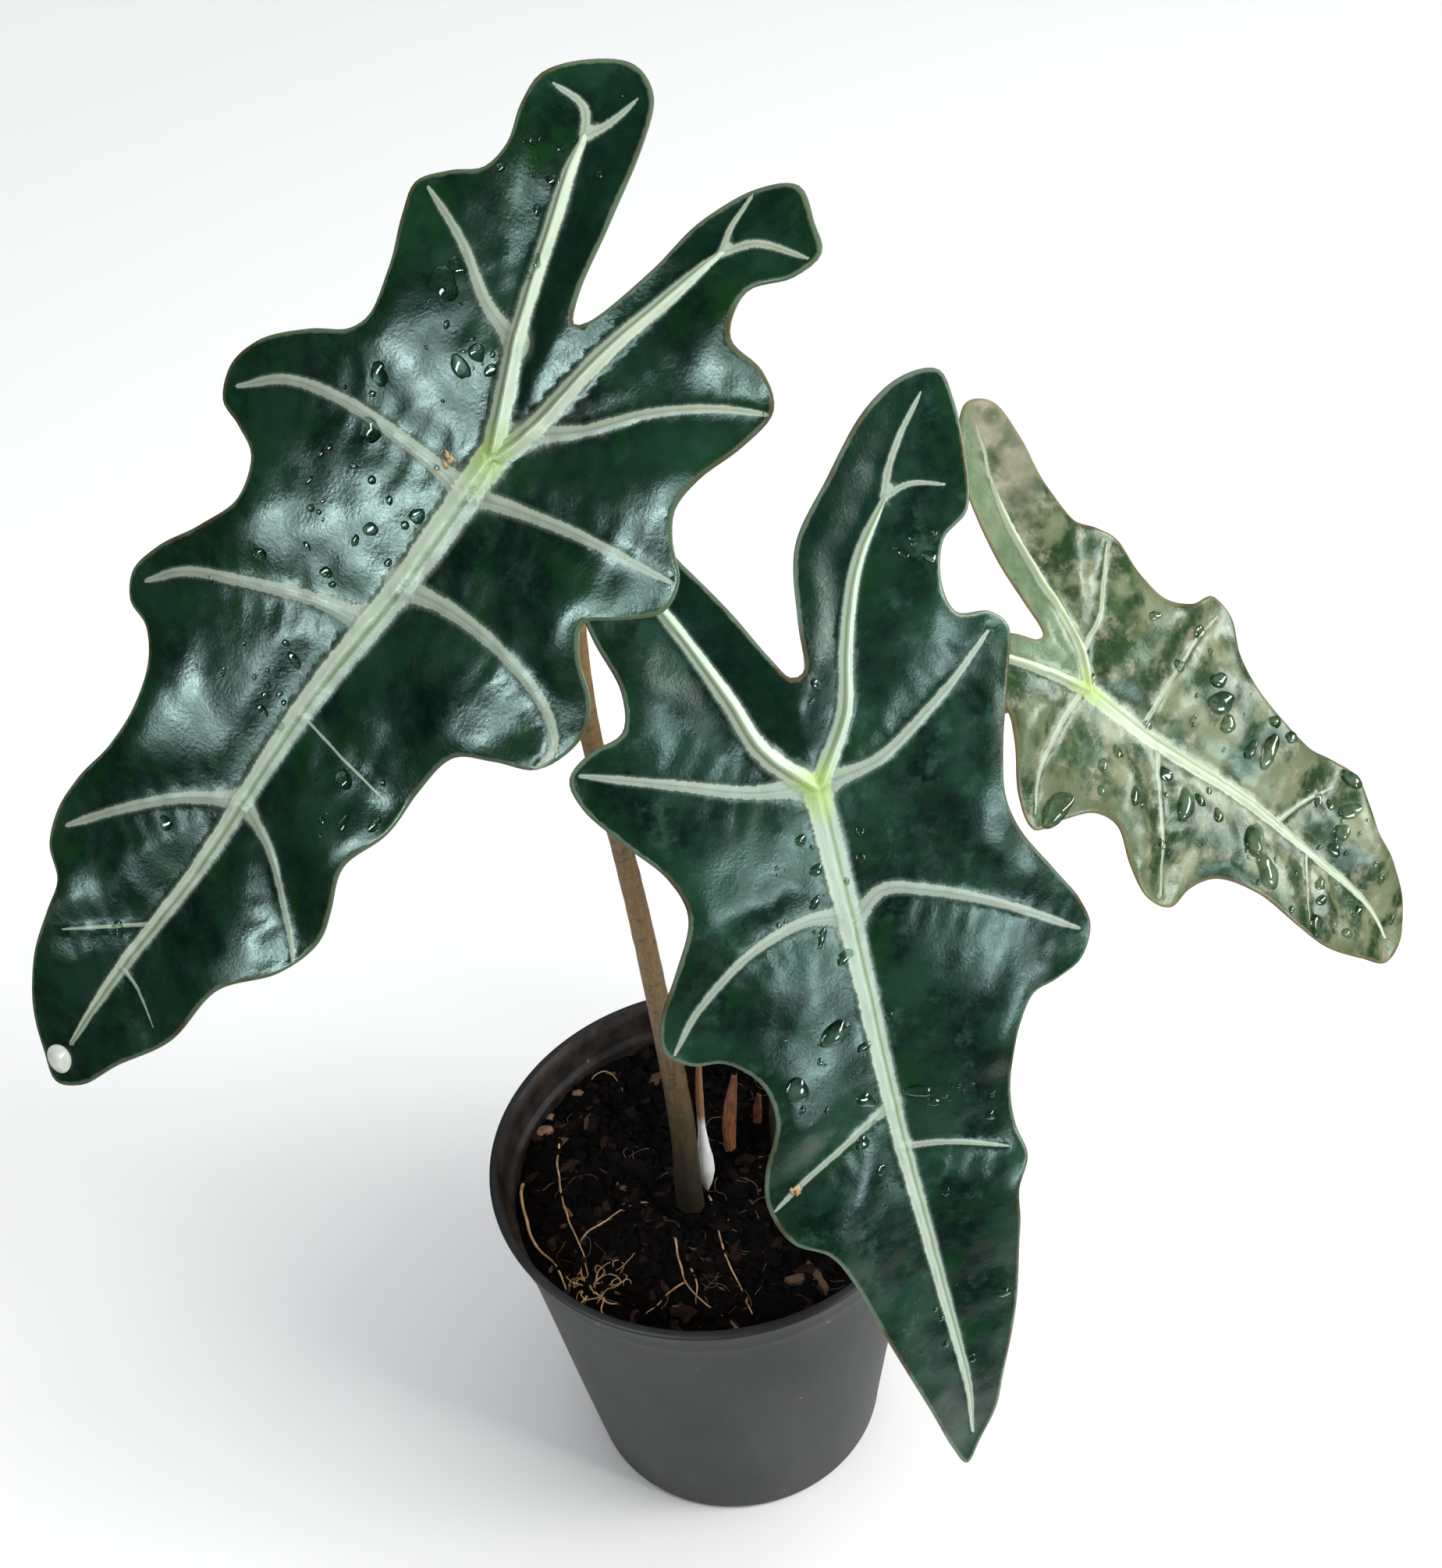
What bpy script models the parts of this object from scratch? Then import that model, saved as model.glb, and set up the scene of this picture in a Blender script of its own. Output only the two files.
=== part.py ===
"""Potted alocasia: an African-mask plant with three arrow-shaped leaves in a 12 cm nursery pot.

Metres, +Z up.  The origin is the centre of the pot's base and the plant leans toward -Y.
Tables are in millimetres.
"""
import math

import bmesh
import bpy
from mathutils import Vector, noise

MM = 0.001
GAP = 0.3 * MM                    # clearance between pieces that touch

# ---- pot ----
POT_HEIGHT = 110 * MM
POT_RIM_RADIUS = 60 * MM
POT_BASE_RADIUS = 42 * MM
POT_WALL = 1.4 * MM
BAND_HEIGHT = 11 * MM             # plain band under the lip
BAND_STEP = 1.2 * MM              # how far the band stands out from the wall
LIP = 1.0 * MM                    # rolled lip's overhang
POT_FLOOR = 2.0 * MM
DRAIN_HOLES = 8
DRAIN_RADIUS = 3.6 * MM
DRAIN_CIRCLE = 31 * MM

# ---- soil ----
SOIL_LEVEL = 97 * MM
SOIL_RELIEF = 2.2 * MM
SOIL_NOMINAL_RADIUS = 54.5 * MM   # the soil radius that the roots and chips are laid out on
SOIL_CELL = 4.5 * MM

# ---- leaves ----
BLADE = 0.9 * MM                  # blade thickness
LEAF_CELL = 7 * MM                # spacing of the blade's inner points
MARGIN_STEP = 4 * MM              # spacing of the points along the margin
FOLD = 0.22                       # slope of the valley along each main rib
FOLD_SOFTNESS = 6.0
DROOP = 0.0035                    # outward curl of the blade away from the ribs
ARCH = 0.00035                    # backward bend of the pointed end
RECURVE = 0.0018                  # backward bend of the two basal lobes
WAVE = 2.4                        # lobes dip and bays lift by this much
WAVE_REACH = 10.0
MIDRIB_RADIUS = 1.9 * MM
SIDE_RIB_RADIUS = 1.6 * MM

# Each leaf: the point where the stalk meets the blade, the compass heading of the midrib from -Y
# toward +X, its dip below level, the turn about the midrib, the size of the leaf against its table,
# the three main ribs, and the margin.  The margin starts at the notch between the basal lobes and
# runs down the right half, round the pointed end and up the left half; every row is one lobe and
# ends in the bay that follows it.
LEFT_LEAF = {
    "junction": (-24.3, -32.0, 351.6), "heading": -73.4, "dip": 47.8, "turn": -36.0, "size": 1.0,
    "midrib": ((0, 0), (-1, -32), (-4, -62), (-5, -110), (-8, -140), (-10, -167)),
    "left_rib": ((0, 0), (-8, 18), (-14, 33), (-20, 48), (-23, 56)),
    "right_rib": ((0, 0), (3, 8), (7, 31), (10, 46), (12, 56)),
    "margin": (
        ((1, 32), (4, 46), (5, 58), (9, 68), (15, 73), (22, 70), (27, 67), (26, 61), (21, 54)),
        ((24, 46), (32, 45), (38, 41), (38, 33), (36, 24), (36, 17)),
        ((39, 12), (44, 7), (45, 1), (40, -5), (35, -10)),
        ((38, -16), (44, -22), (46, -29), (43, -39), (36, -43), (29, -48)),
        ((26, -60), (26, -71), (23, -82)),
        ((25, -92), (26, -101), (23, -112), (15, -124)),
        ((11, -144), (3, -160), (-3, -173), (-9, -178), (-15, -174), (-21, -167), (-26, -155),
         (-28, -142)),
        ((-30, -135), (-37, -131), (-40, -124), (-39, -114), (-35, -101), (-34, -90)),
        ((-37, -81), (-43, -76), (-50, -75), (-53, -70), (-50, -61), (-43, -50), (-38, -39)),
        ((-41, -31), (-48, -29), (-55, -28), (-58, -22), (-55, -14), (-45, -4), (-37, 2), (-35, 7)),
        ((-38, 16), (-43, 24), (-45, 30), (-40, 36), (-34, 41), (-33, 47)),
        ((-36, 54), (-37, 60), (-32, 67), (-25, 71), (-18, 69), (-13, 61), (-8, 47), (-4, 35),
         (-1, 30)),
    ),
}
FRONT_LEAF = {
    "junction": (31.7, -46.0, 274.9), "heading": 24.1, "dip": 71.5, "turn": 3.0, "size": 1.0,
    "midrib": ((0, 0), (1, -37), (2, -82), (5, -127), (8, -168), (8, -184)),
    "left_rib": ((0, 0), (-10, 13), (-14, 25), (-21, 44), (-26, 56)),
    "right_rib": ((0, 0), (9, 14), (13, 28), (20, 43), (29, 53)),
    "margin": (
        ((2, 26), (4, 36), (8, 50), (18, 60), (30, 70), (41, 74), (48, 73), (49, 67), (48, 57),
         (45, 46), (38, 42), (35, 34)),
        ((37, 27), (45, 24), (49, 19), (46, 9), (41, -4), (39, -14)),
        ((41, -23), (49, -38), (55, -49), (57, -57), (53, -63), (45, -64), (38, -64), (33, -70)),
        ((30, -82), (30, -98), (31, -106), (27, -113)),
        ((26, -124), (23, -146), (17, -168), (14, -180), (9, -189), (5, -193), (2, -186),
         (-3, -168), (-10, -143), (-16, -120), (-21, -108)),
        ((-28, -102), (-31, -92), (-30, -81), (-26, -68)),
        ((-27, -59), (-33, -52), (-40, -50), (-45, -44), (-44, -36), (-39, -26), (-34, -14)),
        ((-36, -5), (-42, 4), (-48, 14), (-49, 21), (-44, 25), (-37, 27), (-35, 35)),
        ((-37, 46), (-37, 53), (-33, 59), (-26, 62), (-19, 60), (-15, 53), (-9, 42), (-4, 31),
         (-1, 26)),
    ),
}
RIGHT_LEAF = {
    "junction": (102.5, 25.0, 235.5), "heading": 82.3, "dip": 48.3, "turn": 36.0, "size": 1.0,
    "midrib": ((0, 0), (2, -25), (7, -56), (9, -85), (10, -116), (8, -126)),
    "left_rib": ((0, 0), (-4, 13), (-11, 32), (-16, 45)),
    "right_rib": ((0, 0), (6, 7), (15, 29), (21, 41), (28, 49)),
    "margin": (
        ((2, 20), (6, 28), (12, 40), (21, 52), (32, 60), (40, 63), (44, 58), (41, 48), (34, 37),
         (31, 27)),
        ((34, 20), (36, 13), (32, 3), (31, -5)),
        ((36, -14), (43, -20), (43, -29), (36, -36), (31, -46), (29, -58)),
        ((30, -68), (34, -80), (35, -89), (30, -96), (26, -102)),
        ((24, -112), (19, -125), (11, -132), (3, -130), (-3, -118), (-9, -102), (-11, -88)),
        ((-11, -73), (-15, -60), (-22, -54), (-29, -51), (-32, -42), (-29, -31), (-24, -22)),
        ((-25, -15), (-31, -9), (-37, -4), (-33, 5), (-24, 14), (-19, 21)),
        ((-22, 31), (-25, 42), (-21, 51), (-15, 53), (-9, 46), (-6, 34), (-2, 26), (0, 21)),
    ),
}

# ---- leaf stalks: points along the middle line and the radius there; the last point is added ----
PETIOLE_LEFT = (((-5.5, -6, 84), 4.4), ((-6.3, -8.2, 99), 4.3), ((-6.8, -10, 136), 3.8),
                ((-8.9, -10, 189), 3.0), ((-11.6, -10, 231), 2.6), ((-15.0, -10, 264), 2.5),
                ((-15.3, -11.5, 285), 2.5), ((-14.5, -16, 312), 2.5))
PETIOLE_FRONT = (((20, 8, 84), 4.2), ((20.5, 8, 99), 4.1), ((21, 9, 140), 3.4),
                 ((22, 6, 190), 2.9), ((23, -5, 235), 2.6))
PETIOLE_RIGHT = (((25, 20, 84), 3.5), ((26, 21, 99), 3.4), ((31, 28, 145), 2.8),
                 ((46, 36, 188), 2.4), ((68, 42, 213), 2.2))
PETIOLE_KNEE = 13.0               # the stalk's last straight run, square to the blade

# ---- crown, old sheaths, roots and chips ----
CORM_AT = (22.5, 14.0)
CORM_RADIUS = 11 * MM
DRY_STALK = (((-2.4, -4.2, 99.8), 0.4), ((-2.3, -4.1, 102), 1.5), ((-2.1, -4.0, 107), 2.2),
             ((-1.9, -3.9, 113), 1.7), ((-1.7, -3.8, 119), 1.1), ((-1.5, -3.6, 124), 0.8),
             ((-1.2, -3.2, 134), 0.85), ((-0.4, -2.2, 146), 0.7), ((1.2, -0.6, 157), 0.4))
RED_SHEATH = ((5.3, 7.6, 99.6), (5.6, 8.0, 107), (6.6, 8.8, 116), (8.4, 10.2, 127))
RED_SHEATH_WIDTHS = (3.4, 4.6, 4.0, 1.6)
BACK_SHEATH = ((13.2, 17.0, 99.8), (13.6, 17.2, 104), (14.4, 17.6, 110))
BACK_SHEATH_WIDTHS = (2.4, 2.6, 1.0)
SHEATH_THICKNESS = 0.45 * MM
ROOT_RADIUS = 0.55 * MM
ROOTS = {
    "root_left_rim": ((-52, 3.5), (-51.5, -5), (-49.5, -11), (-46.5, -19), (-43.5, -25), (-41.5, -30)),
    "root_left": ((-42.5, 18), (-42.7, 9.5), (-41.9, 0), (-39.9, -9.5), (-37.5, -17), (-36.2, -22)),
    "root_fork": ((-34.6, -14.6), (-32, -12), (-28, -9), (-23.5, -7), (-18.6, -6.4)),
    "root_middle": ((-11.2, -20.5), (-10.9, -27), (-10.2, -32.5), (-7.4, -37.5), (-3.4, -42), (-0.5, -45)),
    "root_middle_twig": ((-7.6, -29), (-6.0, -33), (-4.6, -37)),
    "root_middle_fork": ((-12.4, -34.5), (-15, -37), (-18, -40), (-20.4, -41.7)),
    "root_right": ((-1.2, -7.5), (-0.3, -13), (0.8, -22), (2.7, -31), (4.9, -38), (7, -44)),
    "root_back": ((-32.5, 41.5), (-29, 42.5), (-26, 40), (-23.5, 35)),
}
CLUMP_AT = (-33.5, -32.0)
CLUMP_HALF = (3.0, 3.6, 1.3)
CLUMP_ROOTS = (
    ((-1, 1), (-3, 5), (-2.6, 9)),
    ((1, -1), (4, -4), (8, -5)),
    ((0, 1), (3.5, 4), (6, 3)),
    ((-1, -1), (-3, -4), (-2, -7.5)),
    ((1, 1), (1.5, 5), (4.5, 8)),
)
CHIPS = {
    "chip_left": ((-45.9, 22.2), (2.4, 1.8, 1.4)),
    "chip_middle": ((-44.6, 28.6), (1.5, 1.1, 0.8)),
    "chip_back": ((-37.0, 35.5), (1.6, 1.2, 0.9)),
}


def clear_scene():
    for obj in list(bpy.data.objects):
        bpy.data.objects.remove(obj, do_unlink=True)


def new_material(name, colour, roughness, specular=0.5):
    mat = bpy.data.materials.new(name)
    mat.use_nodes = True
    shader = mat.node_tree.nodes["Principled BSDF"]
    shader.inputs["Base Color"].default_value = (*colour, 1.0)
    shader.inputs["Roughness"].default_value = roughness
    shader.inputs["Specular IOR Level"].default_value = specular
    mat.diffuse_color = (*colour, 1.0)
    return mat


def place(name, mesh, mat, collection):
    """Put a mesh in the collection as one named piece with one material."""
    mesh.name = name
    mesh.materials.clear()
    mesh.materials.append(mat)
    obj = bpy.data.objects.new(name, mesh)
    collection.objects.link(obj)
    return obj


def evaluated(obj, merge=0.02 * MM):
    """The mesh an object's modifiers or curve settings give."""
    deps = bpy.context.evaluated_depsgraph_get()
    mesh = bpy.data.meshes.new_from_object(obj.evaluated_get(deps))
    bm = bmesh.new()
    bm.from_mesh(mesh)
    bmesh.ops.remove_doubles(bm, verts=bm.verts, dist=merge)
    bmesh.ops.recalc_face_normals(bm, faces=bm.faces)
    bm.to_mesh(mesh)
    bm.free()
    return mesh


def scratch(name, data):
    obj = bpy.data.objects.new(name, data)
    bpy.context.scene.collection.objects.link(obj)
    return obj


def join_shapes(target, other, operation):
    """Boolean one scratch object with another and return a new scratch object."""
    mod = target.modifiers.new("Cut", "BOOLEAN")
    mod.operation = operation
    mod.solver = "EXACT"
    mod.object = other
    mesh = evaluated(target, 0.001 * MM)
    result = scratch(target.name, mesh)
    bpy.data.objects.remove(target, do_unlink=True)
    bpy.data.objects.remove(other, do_unlink=True)
    return result


def smooth_run(points, step, closed=False):
    """A centripetal Catmull-Rom line through the points, sampled about every step."""
    pts = [Vector(p) for p in points]
    n = len(pts)
    if closed:
        pts = [pts[-1]] + pts + [pts[0], pts[1]]
    else:
        pts = [pts[0] * 2 - pts[1]] + pts + [pts[-1] * 2 - pts[-2]]
        n -= 1
    out = []
    for i in range(n):
        p0, p1, p2, p3 = pts[i:i + 4]
        t1 = math.sqrt((p1 - p0).length)
        t2 = t1 + math.sqrt((p2 - p1).length)
        t3 = t2 + math.sqrt((p3 - p2).length)
        count = max(1, round((p2 - p1).length / step))
        for j in range(count):
            t = t1 + (t2 - t1) * j / count
            a1 = p0 * ((t1 - t) / t1) + p1 * (t / t1)
            a2 = p1 * ((t2 - t) / (t2 - t1)) + p2 * ((t - t1) / (t2 - t1))
            a3 = p2 * ((t3 - t) / (t3 - t2)) + p3 * ((t - t2) / (t3 - t2))
            b1 = a1 * ((t2 - t) / t2) + a2 * (t / t2)
            b2 = a2 * ((t3 - t) / (t3 - t1)) + a3 * ((t - t1) / (t3 - t1))
            out.append(b1 * ((t2 - t) / (t2 - t1)) + b2 * ((t - t1) / (t2 - t1)))
    if not closed:
        out.append(pts[-2])
    return out


def tube(points, radii, sides, segments=4):
    """A solid round stalk through the points, its radius changing from point to point."""
    curve = bpy.data.curves.new("tube", "CURVE")
    curve.dimensions = "3D"
    curve.fill_mode = "FULL"
    curve.bevel_depth = 1.0
    curve.bevel_resolution = max(0, sides // 4 - 1)
    curve.resolution_u = segments
    curve.use_fill_caps = True
    spline = curve.splines.new("BEZIER")
    spline.bezier_points.add(len(points) - 1)
    for bp, point, radius in zip(spline.bezier_points, points, radii):
        bp.co = point
        bp.radius = radius
        bp.handle_left_type = "AUTO"
        bp.handle_right_type = "AUTO"
    obj = scratch("tube", curve)
    mesh = evaluated(obj)
    bpy.data.objects.remove(obj, do_unlink=True)
    return mesh


def turned(profile, steps):
    """A closed outline of (radius, height) points turned once round the upright axis."""
    mesh = bpy.data.meshes.new("turned")
    count = len(profile)
    mesh.from_pydata([(r, 0, z) for r, z in profile], [(i, (i + 1) % count) for i in range(count)], [])
    obj = scratch("turned", mesh)
    mod = obj.modifiers.new("Turn", "SCREW")
    mod.axis = "Z"
    mod.steps = steps
    mod.render_steps = steps
    mod.use_merge_vertices = True
    mod.merge_threshold = 0.00002
    result = evaluated(obj)
    bpy.data.objects.remove(obj, do_unlink=True)
    return result


# ---------------------------------------------------------------- leaves

def leaf_frame(leaf):
    """Junction point, and the blade's right, up-leaf and outward directions."""
    heading = math.radians(leaf["heading"])
    dip = math.radians(leaf["dip"])
    turn = math.radians(leaf["turn"])
    down = Vector((math.sin(heading) * math.cos(dip), -math.cos(heading) * math.cos(dip), -math.sin(dip)))
    level = (Vector((0, 0, 1)) - down * down.z).normalized()
    normal = level * math.cos(turn) - level.cross(down) * math.sin(turn)
    up = -down
    return Vector(leaf["junction"]), up.cross(normal), up, normal


def rib_distance(x, y, ribs):
    """Distance to the nearest main rib, blended where two ribs are equally near."""
    total = 0.0
    for rib in ribs:
        best = 1e9
        for (ax, ay), (bx, by) in zip(rib, rib[1:]):
            dx = bx - ax
            dy = by - ay
            t = min(1.0, max(0.0, ((x - ax) * dx + (y - ay) * dy) / (dx * dx + dy * dy)))
            best = min(best, math.hypot(x - ax - t * dx, y - ay - t * dy))
        total += max(best, 0.05) ** -6
    return total ** (-1 / 6)


def leaf_height(x, y, leaf, ribs):
    """How far the blade stands off its own flat plane, in table millimetres."""
    d = rib_distance(x, y, ribs)
    height = FOLD * (math.hypot(d, FOLD_SOFTNESS) - FOLD_SOFTNESS) - DROOP * d * d
    height -= ARCH * min(y, 0.0) ** 2 + RECURVE * max(y, 0.0) ** 2
    for row in leaf["margin"]:
        bay_x, bay_y = row[-1]
        tip_x, tip_y = row[len(row) // 2 - 1]
        spread = 2 * WAVE_REACH * WAVE_REACH
        height += WAVE * math.exp(-((x - bay_x) ** 2 + (y - bay_y) ** 2) / spread)
        height -= WAVE * math.exp(-((x - tip_x) ** 2 + (y - tip_y) ** 2) / spread)
    return height


def leaf_blank(leaf):
    """The blade laid flat, with its main ribs standing out below, as one solid."""
    size = leaf["size"]
    margin = [Vector((x, y)) * size for row in leaf["margin"] for x, y in row]
    outline = smooth_run([p * MM for p in margin], MARGIN_STEP, closed=True)
    curve = bpy.data.curves.new("outline", "CURVE")
    curve.dimensions = "2D"
    curve.fill_mode = "BOTH"
    curve.extrude = 4 * MM
    spline = curve.splines.new("POLY")
    spline.points.add(len(outline) - 1)
    for point, p in zip(spline.points, outline):
        point.co = (p.x, p.y, 0, 1)
    spline.use_cyclic_u = True
    outline_obj = scratch("outline", curve)
    prism = scratch("prism", evaluated(outline_obj))
    bpy.data.objects.remove(outline_obj, do_unlink=True)

    low_x, high_x = min(p.x for p in margin) - 6, max(p.x for p in margin) + 6
    low_y, high_y = min(p.y for p in margin) - 6, max(p.y for p in margin) + 6
    bm = bmesh.new()
    columns = round((high_x - low_x) * MM / LEAF_CELL)
    rows = round((high_y - low_y) * MM / LEAF_CELL)
    bmesh.ops.create_grid(bm, x_segments=columns, y_segments=rows, size=0.5)
    for v in bm.verts:
        v.co = Vector(((low_x + (v.co.x + 0.5) * (high_x - low_x)) * MM,
                       (low_y + (v.co.y + 0.5) * (high_y - low_y)) * MM, 0))
    mesh = bpy.data.meshes.new("sheet")
    bm.to_mesh(mesh)
    bm.free()
    sheet = scratch("sheet", mesh)
    thick = sheet.modifiers.new("Thick", "SOLIDIFY")
    thick.thickness = BLADE
    thick.offset = -1
    blank = join_shapes(sheet, prism, "INTERSECT")

    for key, radius, start, sunk in (("midrib", MIDRIB_RADIUS, (0, 3), 0.57),
                                     ("left_rib", SIDE_RIB_RADIUS, (1, -5), 0.53),
                                     ("right_rib", SIDE_RIB_RADIUS, (-1, -5.5), 0.55)):
        line = (start,) + leaf[key][1:]
        points = []
        radii = []
        for i, (x, y) in enumerate(line):
            thin = radius * (1 - 0.72 * i / (len(line) - 1))
            points.append((x * size * MM, y * size * MM, -BLADE * 0.55 - thin * sunk))
            radii.append(thin)
        rib = scratch("rib", tube(points, radii, 8, 3))
        blank = join_shapes(blank, rib, "UNION")
    return blank


def build_leaf(name, leaf, mat, collection):
    blank = leaf_blank(leaf)
    mesh = blank.data.copy()
    bpy.data.objects.remove(blank, do_unlink=True)
    ribs = [leaf["midrib"], leaf["left_rib"], leaf["right_rib"]]
    origin, right, up, normal = leaf_frame(leaf)
    size = leaf["size"]
    for v in mesh.vertices:
        x = v.co.x / MM / size
        y = v.co.y / MM / size
        lift = leaf_height(x, y, leaf, ribs) * size * MM + v.co.z
        v.co = origin * MM + right * v.co.x + up * v.co.y + normal * lift
    bm = bmesh.new()
    bm.from_mesh(mesh)
    bmesh.ops.triangulate(bm, faces=[f for f in bm.faces if len(f.verts) > 3])
    bmesh.ops.recalc_face_normals(bm, faces=bm.faces)
    bm.to_mesh(mesh)
    bm.free()
    return place(name, mesh, mat, collection)


def petiole_line(table, leaf):
    """The stalk's points and radii, ending just short of the blade's underside."""
    origin, _right, _up, normal = leaf_frame(leaf)
    points = [Vector(p) * MM for p, _r in table]
    radii = [r * MM for _p, r in table]
    top = origin * MM - normal * (BLADE + MIDRIB_RADIUS * 1.55 + GAP)
    points += [top - normal * PETIOLE_KNEE * MM, top]
    radii += [radii[-1] * 0.97, radii[-1] * 0.92]
    return points, radii


# ---------------------------------------------------------------- pot and soil

def pot_radius(z):
    """Outside radius of the plain wall at a height."""
    top = POT_RIM_RADIUS - LIP - BAND_STEP
    return POT_BASE_RADIUS + (top - POT_BASE_RADIUS) * z / POT_HEIGHT


def build_pot(mat, collection):
    band_low = POT_HEIGHT - BAND_HEIGHT
    band_top = pot_radius(POT_HEIGHT) + BAND_STEP
    profile = [
        (band_top - POT_WALL, POT_HEIGHT),
        (band_top, POT_HEIGHT),
        (band_top + LIP * 0.8, POT_HEIGHT - 0.4 * MM),
        (band_top + LIP, POT_HEIGHT - 1.2 * MM),
        (band_top + LIP * 0.7, POT_HEIGHT - 2.2 * MM),
        (band_top, POT_HEIGHT - 2.6 * MM),
        (pot_radius(band_low) + BAND_STEP, band_low + 0.8 * MM),
        (pot_radius(band_low), band_low),
        (pot_radius(2.5 * MM), 2.5 * MM),
        (POT_BASE_RADIUS - 0.7 * MM, 0.6 * MM),
        (POT_BASE_RADIUS - 2 * MM, 0),
        (10 * MM, 0),
        (0, 0),
        (0, POT_FLOOR),
        (10 * MM, POT_FLOOR),
        (POT_BASE_RADIUS - POT_WALL - 2 * MM, POT_FLOOR),
        (pot_radius(4 * MM) - POT_WALL, 4 * MM),
        (pot_radius(band_low) - POT_WALL, band_low),
        (pot_radius(band_low) + BAND_STEP - POT_WALL, band_low + 0.8 * MM),
    ]
    pot = scratch("pot", turned(profile, 72))
    for i in range(DRAIN_HOLES):
        angle = 2 * math.pi * (i + 0.5) / DRAIN_HOLES
        bm = bmesh.new()
        bmesh.ops.create_cone(bm, cap_ends=True, segments=16, radius1=DRAIN_RADIUS,
                              radius2=DRAIN_RADIUS, depth=3 * POT_FLOOR)
        bmesh.ops.translate(bm, verts=bm.verts, vec=(DRAIN_CIRCLE * math.cos(angle),
                                                     DRAIN_CIRCLE * math.sin(angle), 0))
        mesh = bpy.data.meshes.new("drain")
        bm.to_mesh(mesh)
        bm.free()
        pot = join_shapes(pot, scratch("drain", mesh), "DIFFERENCE")
    mesh = pot.data.copy()
    bpy.data.objects.remove(pot, do_unlink=True)
    return place("pot", mesh, mat, collection)


def soil_height(x, y):
    """Height of the lumpy soil: a little higher round the crown and low at the rim."""
    r = math.hypot(x, y) / POT_RIM_RADIUS
    lumps = noise.noise(Vector((x / 0.013, y / 0.013, 3.1)))
    crumbs = noise.noise(Vector((x / 0.006, y / 0.006, 7.7)))
    return SOIL_LEVEL + SOIL_RELIEF * (0.9 * lumps + 0.45 * crumbs + 0.5 - 1.1 * r * r)


def build_soil(mat, collection, sockets):
    """Soil filling the pot, with a close socket for everything that grows out of it."""
    low = POT_FLOOR + GAP
    radius_top = pot_radius(SOIL_LEVEL) - POT_WALL - GAP * 1.5
    floor_radius = POT_BASE_RADIUS - POT_WALL - 2.4 * MM
    rings = round(radius_top / SOIL_CELL)
    count = 56
    profile = [(radius_top * i / rings, SOIL_LEVEL) for i in range(rings + 1)]
    profile += [(pot_radius(5 * MM) - POT_WALL - GAP * 1.6, 5 * MM), (floor_radius, low),
                (floor_radius * 0.5, low), (0, low)]
    mesh = turned(profile, count)
    for v in mesh.vertices:
        if v.co.z > SOIL_LEVEL - 0.1 * MM:
            v.co.z = soil_height(v.co.x, v.co.y)
            r = math.hypot(v.co.x, v.co.y)
            if r > radius_top - 0.1 * MM:
                close = (pot_radius(v.co.z) - POT_WALL - GAP * 1.5) / r
                v.co.x *= close
                v.co.y *= close
    soil = scratch("soil", mesh)
    for socket in sockets:
        soil = join_shapes(soil, scratch("socket", socket), "DIFFERENCE")
    mesh = soil.data.copy()
    bpy.data.objects.remove(soil, do_unlink=True)
    return place("soil", mesh, mat, collection)


def spread(x, y):
    """A place on the soil, in metres, drawn in with the rim when the pot is narrower."""
    share = (pot_radius(SOIL_LEVEL) - POT_WALL) / SOIL_NOMINAL_RADIUS
    return x * MM * share, y * MM * share


def on_soil(x, y, radius):
    """The height at which something of this radius clears the lumps under it."""
    reach = radius + 2.4 * MM
    spots = [(0, 0)] + [(reach * math.cos(a), reach * math.sin(a)) for a in
                        [2 * math.pi * k / 8 for k in range(8)]]
    return max(soil_height(x + dx, y + dy) for dx, dy in spots) + radius + GAP


def root_line(table):
    flat = smooth_run([Vector((x, y)) for x, y in table], 5.0)
    points = []
    radii = []
    for i, p in enumerate(flat):
        x, y = spread(p.x, p.y)
        radius = ROOT_RADIUS * (1 - 0.45 * i / (len(flat) - 1))
        points.append(Vector((x, y, on_soil(x, y, radius))))
        radii.append(radius)
    return points, radii


def pebble(at, half, seed):
    """A knobbly chip resting on the soil."""
    bm = bmesh.new()
    bmesh.ops.create_icosphere(bm, subdivisions=2, radius=1.0)
    x, y = spread(*at)
    z = on_soil(x, y, 0.0) + half[2] * MM
    for v in bm.verts:
        push = MM * (1 + 0.22 * noise.noise(v.co * 1.7 + Vector((seed, 0, 0))))
        v.co = Vector((x + v.co.x * half[0] * push, y + v.co.y * half[1] * push, z + v.co.z * half[2] * push))
    low = min(v.co.z for v in bm.verts)
    for v in bm.verts:
        v.co.z += z - half[2] * MM - low
    mesh = bpy.data.meshes.new("pebble")
    bm.to_mesh(mesh)
    bm.free()
    return mesh


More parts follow.
